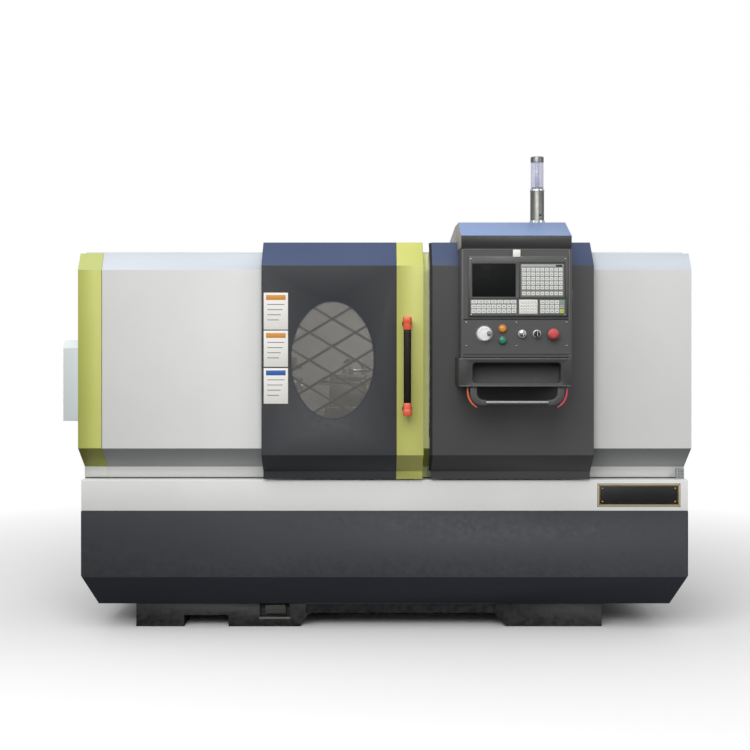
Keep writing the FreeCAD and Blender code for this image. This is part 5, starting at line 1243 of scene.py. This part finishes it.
# ---------------------------------------------------------------------------
# Sliding door
# ---------------------------------------------------------------------------
@dataclass
class Door:
    """The sliding door with its window, cards and pull bar."""

    face: float = -50.0
    cards_left: float = -469.0
    cards_right: float = -375.0
    window_x: float = -203.0
    window_z: float = 1096.0
    half_width: float = 161.0
    half_height: float = 227.0
    grip_x: float = 86.0
    grip_y: float = -102.0
    grip_low: float = 883.0
    grip_high: float = 1263.0
    grip_ribs: int = 24
    rib_step: float = 11.0

    def build(self) -> None:
        """Dresses the door and adds its small parts."""
        dress(DARK_PAINT, "door_panel", edge=1.6)
        dress(LIT_GREEN_PAINT, "door_stile", edge=1.6)
        dress(WINDOW_SHEET, "window_glass", edge=0)
        dress(CAST_PAINT, "window_grille", edge=0.4)
        self.window_bead()
        self.cards()
        self.pull_bar()
        self.lip_seal()

    def window_bead(self) -> None:
        """The thin painted bead round the oval window."""
        piece = Piece("window_bead", "door", "belt_rubber")
        outer = oval(self.half_width + 0.6, self.half_height + 0.6)
        path = [(self.window_x + x, self.face + 0.6, self.window_z + z) for x, z in outer]
        piece.swept([*path, path[0]], 1.5, DARK_PAINT, 10)
        piece.build()

    def cards(self) -> None:
        """Three plain cards with coloured header bands and ruled lines."""
        piece = Piece("door_cards", "door")
        left, right, y = self.cards_left, self.cards_right, self.face
        for low, high, band in (
            (1214, 1357, CARD_AMBER), (1070, 1210, CARD_AMBER), (927, 1065, CARD_BLUE),
        ):
            piece.block((left, y - 0.8, low), (right, y, high), CARD_WHITE, 0.3)
            piece.block((left + 9, y - 1.1, high - 28), (right - 9, y - 0.6, high - 9), band, 0.1)
            for i in range(4):
                z = high - 44 - i * 20
                end = right - 14 - i * 7
                piece.block((left + 14, y - 1.0, z - 3), (end, y - 0.6, z), INK_GREY, 0.1)
        piece.build()

    def pull_bar(self) -> None:
        """The upright pull: a ribbed black bar between two red caps on short posts."""
        piece = Piece("pull_bar", "door", "handle_plastic")
        x, y = self.grip_x, self.grip_y
        low, high = self.grip_low, self.grip_high
        grip = rounded_box(x - 14, x + 14, y - 13, y + 13, 9)
        piece.slab(grip, "z", low + 44, high - 44, GRIP_RUBBER, 0.8, False)
        rib = rounded_box(x - 14.7, x + 14.7, y - 13.7, y + 13.7, 9)
        for i in range(self.grip_ribs):
            z = low + 62 + i * self.rib_step
            piece.slab(rib, "z", z, z + 3.5, GRIP_RUBBER, 0.4, False)
        for end, way in ((low, 1), (high, -1)):
            for half, reach, off in ((17.0, 26, 4.0), (15.6, 50, 2.5)):
                cap = rounded_box(x - half, x + half, y - half + 1, y + half - 1, half * 0.7)
                start, stop = sorted((end, end + way * reach))
                piece.slab(cap, "z", start, stop, RED_PLASTIC, off, False)
            z = end + way * 25
            piece.rod((x, y + 10, z), (x, self.face, z), 13, RED_PLASTIC, 16)
            piece.rod((x, self.face, z), (x, self.face - 3, z), 19, BLACK_PLASTIC, round_off=1)
        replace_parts(piece.build(), "door_handle")

    def lip_seal(self) -> None:
        """A brush strip along the door's leading edge."""
        piece = Piece("door_brush", "door", "belt_rubber")
        piece.block((147, -34, 735), (150, -4, 1455), BLACK_RUBBER, 0.5)
        piece.build()


# ---------------------------------------------------------------------------
# Operator's guard
# ---------------------------------------------------------------------------
@dataclass
class Guard:
    """The sliding guard with its hood, console box and shelf."""

    face: float = -50.0
    console_front: float = -200.0
    left: float = 285.0
    right: float = 701.0
    low: float = 1111.0
    high: float = 1516.0
    split: float = 1251.0
    shelf_left: float = 275.0
    shelf_right: float = 687.0
    shelf_front: float = -270.0
    shelf_rims: tuple[float, ...] = (1003.5, 1103.5)

    def build(self) -> None:
        """Dresses the guard and adds its small parts."""
        dress(LIT_GUARD_PAINT, "guard_cover", edge=1.6)
        dress(HOOD_PAINT, "hood", edge=1.6)
        dress(CONSOLE_PAINT, "console", edge=0)
        dress(SHELF_PAINT, "shelf", edge=1.6)
        self.front_edges()
        self.joints()
        self.side_strip()
        self.edge_seal()
        self.shelf_edge_highlights()

    def front_edges(self) -> None:
        """Slightly raised edges up both sides and over the top of the console's front, pale as
        painted highlights.
        """
        piece = Piece("console_edge_highlights", "guard", "console_grey")
        y = self.console_front
        left, right, low, high = self.left + 5, self.right - 9, self.low + 2, self.high
        for x, z, end in (
            (left, low, left + 2.5), (right - 2.5, low, right), (left, high - 2.5, right),
        ):
            piece.block((x, y - 1.6, z), (end, y + 0.4, high), EDGE_HIGHLIGHT, 0.7)
        piece.build()

    def joints(self) -> None:
        """Black strips over, between and under the console's two panels: painted shade in the gaps,
        and where the console meets the shelf.
        """
        piece = Piece("console_gap_shade", "guard")
        y = self.console_front
        for left, right, out, low, high in (
            (8, 12, 0.5, self.split - 1, self.split + 3.5),
            (8, 12, 0.5, self.low - 5, self.low),
            (2, 2, 0.4, self.high + 1, self.high + 5),
        ):
            start = (self.left + left, y - out, low)
            piece.block(start, (self.right - right, y + 0.4, high), BLACK_RUBBER, 0.2)
        piece.build()

    def side_strip(self) -> None:
        """A narrow edge strip on the guard beside the console, pale as a painted highlight."""
        piece = Piece("guard_strip", "guard")
        piece.block((726, self.face - 3, 1278), (729.5, self.face, 1367), EDGE_HIGHLIGHT, 0.8)
        piece.build()

    def shelf_edge_highlights(self) -> None:
        """Pale strips along the front of the shelf's top and bottom edges: painted highlights."""
        piece = Piece("shelf_edge_highlights", "guard")
        left, right, y = self.shelf_left, self.shelf_right, self.shelf_front
        for low in self.shelf_rims:
            piece.block((left, y - 0.7, low), (right, y + 0.6, low + 2.2), EDGE_HIGHLIGHT, 0.6)
        piece.build()

    def edge_seal(self) -> None:
        """A rubber lip down the guard's leading edge, towards the post; its black also stands in
        for the shade in the gap: painted shade.
        """
        piece = Piece("guard_seal_and_gap_shade", "guard", "belt_rubber")
        y = self.face
        outline = (
            (y - 0.8, 727), (y - 0.8, 1463), (38, 1556), (52, 1556), (y + 30, 1455),
            (y + 30, 735), (52, 668), (52, 658), (38, 658),
        )
        piece.slab(outline, "x", 174.5, 184.5, BLACK_RUBBER, 1.0)
        piece.build()


@dataclass
class ControlUnit:
    """The control unit's screen, keys, frames and screws."""

    front: float = -206.0

    def build(self) -> None:
        """Dresses the unit and adds its small parts."""
        dress(UNIT_PLASTIC, "control_unit", edge=0.8)
        self.screen()
        self.keys()
        self.frames()
        self.badge()

    def screen(self) -> None:
        """The dark screen in its recess."""
        piece = Piece("screen", "guard")
        piece.block((327, self.front + 0.9, 1337), (489, self.front + 2.4, 1460), SCREEN_DARK, 0.4)
        piece.build()

    def key(
        self, piece: Piece, x: float, z: float, wide: float, high: float, finish: Finish
    ) -> None:
        """One membrane key with a plain mark.

        Args:
            piece: the piece it belongs to.
            x: its left side.
            z: its lower edge.
            wide: its width.
            high: its height.
            finish: its colour.
        """
        y = self.front + 1.6
        piece.block((x, y - 1.4, z), (x + wide, y + 0.6, z + high), finish, 0.9, 1)
        low = (x + wide * 0.28, y - 1.6, z + high * 0.40)
        piece.block(low, (x + wide * 0.72, y - 1.2, z + high * 0.58), INK_GREY, 0.1, 1)

    def pad(
        self, piece: Piece, left: float, right: float, low: float, high: float,
        columns: int, rows: int, finish: Finish, gap: float = 3.0,
    ) -> None:
        """A field of even keys.

        Args:
            piece: the piece it belongs to.
            left: the field's left side.
            right: its right side.
            low: its lower edge.
            high: its upper edge.
            columns: keys across.
            rows: keys up.
            finish: their colour.
            gap: the gap between keys.
        """
        wide = (right - left) / columns
        tall = (high - low) / rows
        for i in range(columns):
            for j in range(rows):
                x, z = left + i * wide + gap / 2, low + j * tall + gap / 2
                self.key(piece, x, z, wide - gap, tall - gap, finish)

    def keys(self) -> None:
        """The key fields beside and below the screen."""
        piece = Piece("key_fields", "guard")
        y = self.front
        for left, right, low, high, finish in (
            (509, 670, 1337, 1460, FIELD_GREY), (320, 495, 1272, 1326, FIELD_GREY),
            (502, 572, 1272, 1326, KEY_PALE), (579, 674, 1272, 1326, FIELD_GREY),
        ):
            piece.block((left, y + 1.8, low), (right, y + 2.4, high), finish, 0.2)
        self.pad(piece, 512, 667, 1362, 1446, 9, 5, KEY_PALE)
        self.pad(piece, 512, 667, 1340, 1357, 9, 1, KEY_PALE)
        piece.block((511, y + 1.2, 1449), (668, y + 2.2, 1457), KEY_GREY, 0.3)
        piece.block((640, y + 0.8, 1449.5), (664, y + 2.2, 1456.5), BLACK_PLASTIC, 0.3)
        self.pad(piece, 322, 493, 1310, 1325, 7, 1, KEY_PALE, 2.0)
        self.pad(piece, 322, 493, 1274, 1308, 9, 2, KEY_PALE, 2.0)
        self.pad(piece, 505, 570, 1274, 1324, 5, 4, CARD_WHITE, 2.0)
        self.pad(piece, 581, 654, 1274, 1324, 4, 3, KEY_PALE, 2.2)
        self.key(piece, 656, 1292, 15, 15, KEY_GREY)
        self.key(piece, 656, 1309, 15, 15, KEY_SAGE)
        self.key(piece, 656, 1275, 15, 14, KEY_LIME)
        piece.build()

    def frames(self) -> None:
        """Thin frames round the recesses, and the corner screws."""
        piece = Piece("unit_frames", "guard")
        y = self.front
        for left, right, low, high in ((502, 677, 1331, 1467), (314, 684, 1264, 1333)):
            piece.border((left, y - 0.9, low), (right, y + 0.2, high), 2, BLACK_PLASTIC, 0.3)
        for x in (322, 676):
            for z in (1478, 1268):
                screw(piece, x, y, z, 3.2)
        piece.build()

    def badge(self) -> None:
        """A blank pale plate over the screen."""
        piece = Piece("badge", "guard")
        piece.block((479, self.front - 2, 1486), (507, self.front + 6, 1513), CARD_WHITE, 0.8)
        piece.build()


@dataclass
class SwitchPlate:
    """The panel under the control unit with its dial, buttons and switches."""

    front: float = -203.0
    row_z: float = 1197.0
    dial_x: float = 372.0
    buttons_x: float = 440.0
    key_x: float = 514.0
    selector_x: float = 569.0
    stop_x: float = 628.0
    knob_x: float = 389.0
    knob_z: float = 1199.0
    scale_ticks: int = 50
    rim_ribs: int = 36
    screws_x: tuple[float, ...] = (305, 493, 681)
    screws_z: tuple[float, ...] = (1240, 1152)

    def build(self) -> None:
        """Dresses the switches and adds their rings, scales and screws."""
        dress(AMBER_LENS, "amber_button", edge=1.4)
        dress(GREEN_LENS, "green_button", edge=1.4)
        dress(CHROME, "key", "stop_stem", edge=0.3)
        dress(BLACK_PLASTIC, "selector", edge=0.8)
        dress(STOP_RED, "stop_head", edge=2.2)
        self.screws()
        self.scale()
        self.rings()
        self.dial()
        self.marks()

    def screws(self) -> None:
        """The panel's six screws."""
        piece = Piece("plate_screws", "guard")
        for x in self.screws_x:
            for z in self.screws_z:
                screw(piece, x, self.front, z, 3.8)
        piece.build()

    def around(self, angle: float, radius: float, y: float) -> Point:
        """A point round the pulse dial's axis.

        Args:
            angle: how far round, in radians.
            radius: how far out.
            y: its depth.

        Returns:
            The point.
        """
        return self.dial_x + radius * math.cos(angle), y, self.row_z + radius * math.sin(angle)

    def scale(self) -> None:
        """Fine ticks round the pulse dial."""
        piece = Piece("dial_scale", "guard")
        y = self.front - 0.3
        for i in range(self.scale_ticks):
            angle = math.tau * i / self.scale_ticks
            start = self.around(angle, 30.5, y)
            end = self.around(angle, 34.5 if i % 5 == 0 else 32.5, y)
            piece.rod(start, end, 0.45, CARD_WHITE, sides=6)
        piece.build()

    def rings(self) -> None:
        """Rings round the buttons and switches."""
        piece = Piece("switch_rings", "guard")
        profile = ((11.7, 0), (16.5, 0), (16.5, 2.5), (14.5, 7.4), (12.6, 8.2), (11.7, 7.4))
        for x, z, finish in (
            (self.buttons_x, self.row_z + 20, AMBER_RING),
            (self.buttons_x, self.row_z - 24, GREEN_RING),
            (self.key_x, self.row_z, RING_SILVER),
            (self.selector_x, self.row_z, RING_SILVER),
            (self.stop_x, self.row_z, BLACK_PLASTIC),
        ):
            piece.turned((x, self.front, z), (0, -1, 0), profile, finish, 36)
        piece.build()

    def dial(self) -> None:
        """The hand-pulse dial with its finger knob."""
        x, y, z = self.dial_x, self.front, self.row_z
        piece = Piece("pulse_dial", "mpg_dial")
        disc = (
            (0, 0), (29, 0), (29, 4), (27.5, 6), (26, 12), (24, 14.5), (16, 14.6), (15, 13.6),
            (13.5, 13.6), (12.5, 14.8), (0, 15.2),
        )
        piece.turned((x, y - 1.2, z), (0, -1, 0), disc, DIAL_WHITE, 64)
        foot = (self.knob_x, y - 15, self.knob_z)
        knob = ((0, 0), (7.5, 0), (7.8, 10), (7, 14), (5, 15.4), (0, 15.8))
        piece.turned(foot, (0, -1, 0), knob, FIELD_GREY, 28)
        collar = ((7.4, 0), (9, 0), (9, 1.2), (7.4, 1.6))
        piece.turned(foot, (0, -1, 0), collar, INK_GREY, 28)
        for i in range(20):
            angle = math.tau * i / 20
            start, end = self.around(angle, 19, y - 15.8), self.around(angle, 22.5, y - 15.8)
            piece.rod(start, end, 0.5, INK_GREY, sides=6)
        piece.rod((x, y - 1.5, z), (x, -176, z), 7.9, CHROME)
        for i in range(self.rim_ribs):
            angle = math.tau * i / self.rim_ribs
            start, end = self.around(angle, 28.9, y - 1.6), self.around(angle, 28.9, y - 5)
            piece.rod(start, end, 0.7, INK_GREY, sides=6)
        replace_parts(piece.build(), "mpg_dial")

    def marks(self) -> None:
        """A pale line on the selector, and the barrel round the key."""
        piece = Piece("selector_line", "selector")
        x, y, z = self.selector_x, self.front, self.row_z
        piece.block((x - 0.8, y - 22.6, z - 9), (x + 0.8, y - 21.8, z + 9), CARD_WHITE, 0.2)
        piece.build()
        piece = Piece("key_barrel", "guard")
        barrel = ((6.4, 0), (11.6, 0), (11.6, 6.6), (6.4, 6.6))
        piece.turned((self.key_x, y, z), (0, -1, 0), barrel, STAINLESS, 32)
        piece.build()


@dataclass
class ConsolePull:
    """The U-shaped pull under the shelf: dark bends, a bright bar and red accents."""

    centre: float = 489.5
    high: float = 1001.0
    low: float = 931.5
    plane: float = -250.0
    half_depth: float = 10.0
    half: float = 175.0
    leg: float = 26.0
    bend: float = 44.0
    bar_z: float = 942.0
    bar_half: float = 116.0
    bar_radius: float = 7.4
    accent_curve: tuple[tuple[float, float], ...] = ((184, 1000), (188, 945), (148, 924))
    accent_tip: float = 1.4
    accent_swell: float = 2.6
    accent_fullness: float = 0.7

    def build(self) -> None:
        """Makes the pull in place of the plain one."""
        piece = Piece("console_pull", "guard", "console_grey")
        for side in (-1, 1):
            outline = [(self.centre + side * x, z) for x, z in self.leg_outline()]
            near, far = self.plane - self.half_depth, self.plane + self.half_depth
            piece.slab(outline, "y", near, far, CONSOLE_PAINT, 3.0, False)
            accent = [(self.centre + side * x, z) for x, z in self.accent_outline()]
            finish = ACCENT_ORANGE if side < 0 else ACCENT_ROSE
            piece.slab(accent, "y", near - 0.8, self.plane + 3, finish, 1.6, False)
        start, end = (
            (self.centre + side * (self.bar_half + 4), self.plane, self.bar_z) for side in (-1, 1)
        )
        piece.rod(start, end, self.bar_radius, SATIN_BAR)
        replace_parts(piece.build(), "pull_handle")

    def leg_outline(self) -> Outline:
        """One leg and its bend, seen from the front.

        Returns:
            Its corners as (distance from the middle, height).
        """
        quarter = [math.radians(90 * i / 8) for i in range(9)]
        small = self.bend - self.leg + 6
        outer = [
            (self.half - self.bend * (1 - math.cos(a)), self.low + self.bend * (1 - math.sin(a)))
            for a in quarter
        ]
        base = self.low + 2 * (self.bar_z - self.low)
        inner = [
            (self.half - self.leg - small * (1 - math.cos(a)), base + small * (1 - math.sin(a)))
            for a in reversed(quarter)
        ]
        return [
            (self.half, self.high), *outer, (self.bar_half, self.low),
            (self.bar_half, base), *inner, (self.half - self.leg, self.high),
        ]

    def accent_outline(self) -> Outline:
        """One crescent beside a bend, seen from the front.

        Returns:
            Its corners as (distance from the middle, height).
        """
        start, pull, end = map(Vector, self.accent_curve)
        outside, inside = [], []
        for i in range(17):
            t = i / 16
            point = start * (1 - t) ** 2 + pull * 2 * t * (1 - t) + end * t**2
            along = ((pull - start) * (1 - t) + (end - pull) * t).normalized()
            swell = self.accent_swell * math.sin(math.pi * t) ** self.accent_fullness
            across = Vector((-along.y, along.x)) * (self.accent_tip + swell)
            outside.append(tuple(point + across))
            inside.append(tuple(point - across))
        return outside + inside[::-1]


@dataclass
class Beacon:
    """The signal beacon: bright post, clear lens, a lamp tube pale as a painted highlight, and cap.
    """

    x: float = 599.0
    y: float = 20.0
    foot_z: float = 1632.0
    collar_z: float = 1757.0
    cap_z: float = 1871.0

    def build(self) -> None:
        """Dresses the beacon and adds its small parts."""
        dress(POST_STEEL, "beacon_post", edge=0.8)
        dress(BEACON_CLEAR, "beacon_lens", edge=0.8)
        self.lamps()
        self.cap()

    def lamps(self) -> None:
        """The lamp inside the lens: a dark base and a pale tube, whose paleness is a painted
        highlight standing in for the lens's bright upright streak.
        """
        piece = Piece("beacon_lamp_highlight", "guard")
        piece.rod((self.x, self.y, 1764), (self.x, self.y, 1772), 22, BLACK_PLASTIC, round_off=2)
        piece.rod((self.x, self.y, 1771), (self.x, self.y, 1868), 9, LAMP_CLEAR, round_off=4)
        piece.build()

    def cap(self) -> None:
        """The cap, the collar under the lens, the post's foot and a set screw."""
        piece = Piece("beacon_cap", "guard")
        x, y = self.x, self.y
        lid = ((24, 0), (25.7, 0), (25.7, 17), (24, 20.5), (11, 21), (9, 19), (0, 19))
        collar = ((26.9, 0), (28.4, 1), (28.4, 6), (26.9, 8))
        foot = ((27, 0), (30.2, 0), (30.2, 9), (27, 11))
        for z, profile, finish in (
            (self.cap_z, lid, POST_STEEL), (self.collar_z, collar, CHROME),
            (self.foot_z, foot, CHROME),
        ):
            piece.turned((x, y, z), (0, 0, 1), profile, finish, 40)
        piece.rod((x + 9, y - 25.5, 1662), (x + 9.6, y - 28, 1662), 4, BLACK_PLASTIC, sides=12)
        piece.build()


# ---------------------------------------------------------------------------
# Electrical cabinet
# ---------------------------------------------------------------------------
@dataclass
class Cabinet:
    """The cabinet at the rear with its door, drives and main switch."""

    front: float = 1103.0
    back: float = 1350.0
    drives_x: tuple[float, ...] = (220, 430, 640)
    contactors: int = 7
    contactor_step: float = 62.0
    vents: int = 12
    latches_z: tuple[float, ...] = (860, 1300)
    switch_x: float = 790.0
    switch_z: float = 1320.0

    def build(self) -> None:
        """Dresses the cabinet and adds its small parts."""
        dress(GREY_PAINT, "cabinet", "cabinet_door", edge=1.6)
        dress(STAINLESS, "mounting_plate", edge=1.0)
        dress(SWITCH_YELLOW, "main_switch", edge=1.6)
        self.drives()
        self.door_parts()
        self.switch_parts()

    def drives(self) -> None:
        """The drives with their faces, the contactors and the wiring ducts."""
        piece = Piece("drive_faces", "machine")
        y = self.front + 150
        for left in self.drives_x:
            piece.block((left, y - 140, 1060), (left + 150, y + 1.5, 1390), BLACK_PLASTIC, 4)
            piece.block((left + 40, y + 1, 1320), (left + 110, y + 3, 1362), SCREEN_DARK, 1)
            for j in range(6):
                z = 1090 + j * 16
                piece.block((left + 20, y + 1, z), (left + 130, y + 3, z + 8), KEY_GREY, 0.8)
        y = self.front
        for i in range(self.contactors):
            left = 240 + i * self.contactor_step
            piece.block((left, y + 11, 880), (left + 45, y + 92, 965), KEY_PALE, 3)
            piece.block((left + 10, y + 91, 905), (left + 35, y + 95, 940), BLACK_PLASTIC, 1)
        for z in (800, 1005):
            piece.block((210, y + 11, z), (830, y + 70, z + 38), KEY_GREY, 1)
        piece.build()

    def door_parts(self) -> None:
        """Vents, latches, a blank label and a seal on the cabinet's door."""
        piece = Piece("cabinet_door_parts", "cabinet_door")
        y = self.back
        for i in range(self.vents):
            z = 760 + i * 14
            piece.block((440, y - 0.5, z), (640, y + 1.4, z + 6), BLACK_PLASTIC, 0.5)
        for z in self.latches_z:
            piece.rod((868, y - 1, z), (868, y + 4, z), 15, CHROME, round_off=1.5)
            piece.block((864, y + 3, z - 10), (872, y + 6, z + 10), BLACK_PLASTIC, 1)
        piece.block((300, y, 1230), (440, y + 1, 1320), CARD_WHITE, 0.3)
        piece.block((310, y + 0.6, 1296), (430, y + 1.3, 1312), INK_GREY, 0.1)
        piece.build()
        piece = Piece("cabinet_gasket", "cabinet_door", "belt_rubber")
        inner = self.back - 20
        piece.border((158, inner - 1.2, 688), (892, inner, 1472), 8, BLACK_RUBBER, 0.4)
        piece.build()

    def switch_parts(self) -> None:
        """The main switch's backing plate and red lever."""
        x, y, z = self.switch_x, self.back, self.switch_z
        piece = Piece("switch_plate", "cabinet_door")
        piece.block((x - 34, y, z - 34), (x + 34, y + 0.8, z + 34), SWITCH_YELLOW, 0.3)
        piece.build()
        piece = Piece("switch_lever", "main_switch")
        piece.block((x - 8, y + 11, z - 25), (x + 8, y + 26.5, z + 25), RED_PLASTIC, 3)
        piece.build()


# ---------------------------------------------------------------------------
# Floor, light and camera
# ---------------------------------------------------------------------------
@dataclass(frozen=True)
class Lamp:
    """A soft square light: where it hangs and what it looks at in metres, side and watts."""

    name: str
    place: Point
    aim: Point
    size: float
    watts: float

    def build(self) -> None:
        """Hangs the light."""
        light = bpy.data.lights.new(self.name, "AREA")
        light.size = self.size
        light.energy = self.watts
        lamp = linked(self.name, light)
        lamp.location = self.place
        way = Vector(self.aim) - Vector(self.place)
        lamp.rotation_euler = way.to_track_quat("-Z", "Y").to_euler()


@dataclass
class Studio:
    """A pale floor and surroundings, soft lights and the camera.

    The eye's place is in the shop's millimetres, the floor's fade in metres.
    """

    eye: Point = (-49.6, -5000.0, 1193.0)
    lens: float = 61.35
    sensor: float = 36.0
    shift: tuple[float, float] = (0.004, -0.0533)
    sky_bounce: float = 0.52
    floor_bounce: float = 0.08
    floor_tone: float = 0.98
    floor_fade: tuple[float, float] = (1.5, 4.0)
    lamps: tuple[Lamp, ...] = (
        Lamp("key_light", (-0.7, -4.9, 4.2), (0, 0, 0.9), 4.5, 227),
        Lamp("work_light", (-0.08, -0.42, 1.39), (-0.1, 0.1, 0.95), 0.2, 3.6),
        Lamp("left_light", (-4.5, -3.5, 3.0), (0, 0, 0.9), 2.5, 27),
        Lamp("right_light", (4.5, -3.5, 3.0), (0, 0, 0.9), 2.5, 25),
    )

    def build(self) -> None:
        """Makes the floor, the lights and the camera."""
        self.floor()
        self.sky()
        for lamp in self.lamps:
            lamp.build()
        self.camera()

    def seen(self, tree: Tree, straight: float, bounced: float) -> Socket:
        """A grey that is paler to the eye than to the light that bounces.

        Args:
            tree: the nodes of the floor or the surroundings.
            straight: the grey that the eye sees.
            bounced: the grey that lights the machine.

        Returns:
            The grey.
        """
        straight_on = add_node(tree, "LightPath").outputs["Is Camera Ray"]
        return ramp(tree, straight_on, (0.0, 1.0), (bounced, straight))

    def floor(self) -> None:
        """A wide pale floor that fades into the surroundings far away."""
        sheet = bmesh.new()
        bmesh.ops.create_grid(sheet, x_segments=1, y_segments=1, size=60.0)
        data = bpy.data.meshes.new("floor")
        sheet.to_mesh(data)
        sheet.free()
        floor = linked("floor", data)
        made = bpy.data.materials.new("pale_floor")
        made.use_nodes = True
        tree = made.node_tree
        shader = tree.nodes["Principled BSDF"]
        for name, value in (
            ("Roughness", 0.9), ("Specular IOR Level", 0.0),
            ("Base Color", self.seen(tree, self.floor_tone, self.floor_bounce)),
        ):
            fill(tree, shader.inputs[name], value)
        glow = add_node(tree, "Emission", {"Color": self.seen(tree, 1.0, self.floor_bounce)})
        place = add_node(tree, "TexCoord").outputs["Object"]
        far = add_node(tree, "VectorMath", {0: place}, "LENGTH").outputs["Value"]
        share = ramp(tree, far, self.floor_fade, (0.0, 1.0))
        mix = add_node(
            tree, "MixShader", {0: share, 1: shader.outputs[0], 2: glow.outputs[0]}
        )
        tree.links.new(mix.outputs[0], tree.nodes["Material Output"].inputs["Surface"])
        data.materials.append(made)

    def sky(self) -> None:
        """Even pale surroundings."""
        world = bpy.data.worlds.new("studio")
        bpy.context.scene.world = world
        world.use_nodes = True
        tree = world.node_tree
        back = tree.nodes["Background"]
        back.inputs["Color"].default_value = (1.0, 1.0, 1.0, 1)
        tree.links.new(self.seen(tree, 1.0, self.sky_bounce), back.inputs["Strength"])
        bpy.context.scene.view_settings.view_transform = "Standard"

    def camera(self) -> None:
        """A level camera in front of the machine."""
        data = bpy.data.cameras.new("camera")
        data.lens = self.lens
        data.sensor_width = self.sensor
        data.shift_x, data.shift_y = self.shift
        camera = linked("camera", data)
        camera.location = ORIGIN + Vector(self.eye) * MM
        camera.rotation_euler = (math.radians(90), 0, 0)
        bpy.context.scene.camera = camera


def main() -> None:
    """Builds every sub-assembly, then the studio round it."""
    logging.basicConfig(level=logging.INFO, format="%(message)s")
    for part in (
        Base(), Enclosure(), Mechanism(), Door(), Guard(), ControlUnit(), SwitchPlate(),
        ConsolePull(), Beacon(), Cabinet(), Studio(),
    ):
        part.build()
        log.info("%s done", type(part).__name__)


if __name__ == "__main__":
    main()
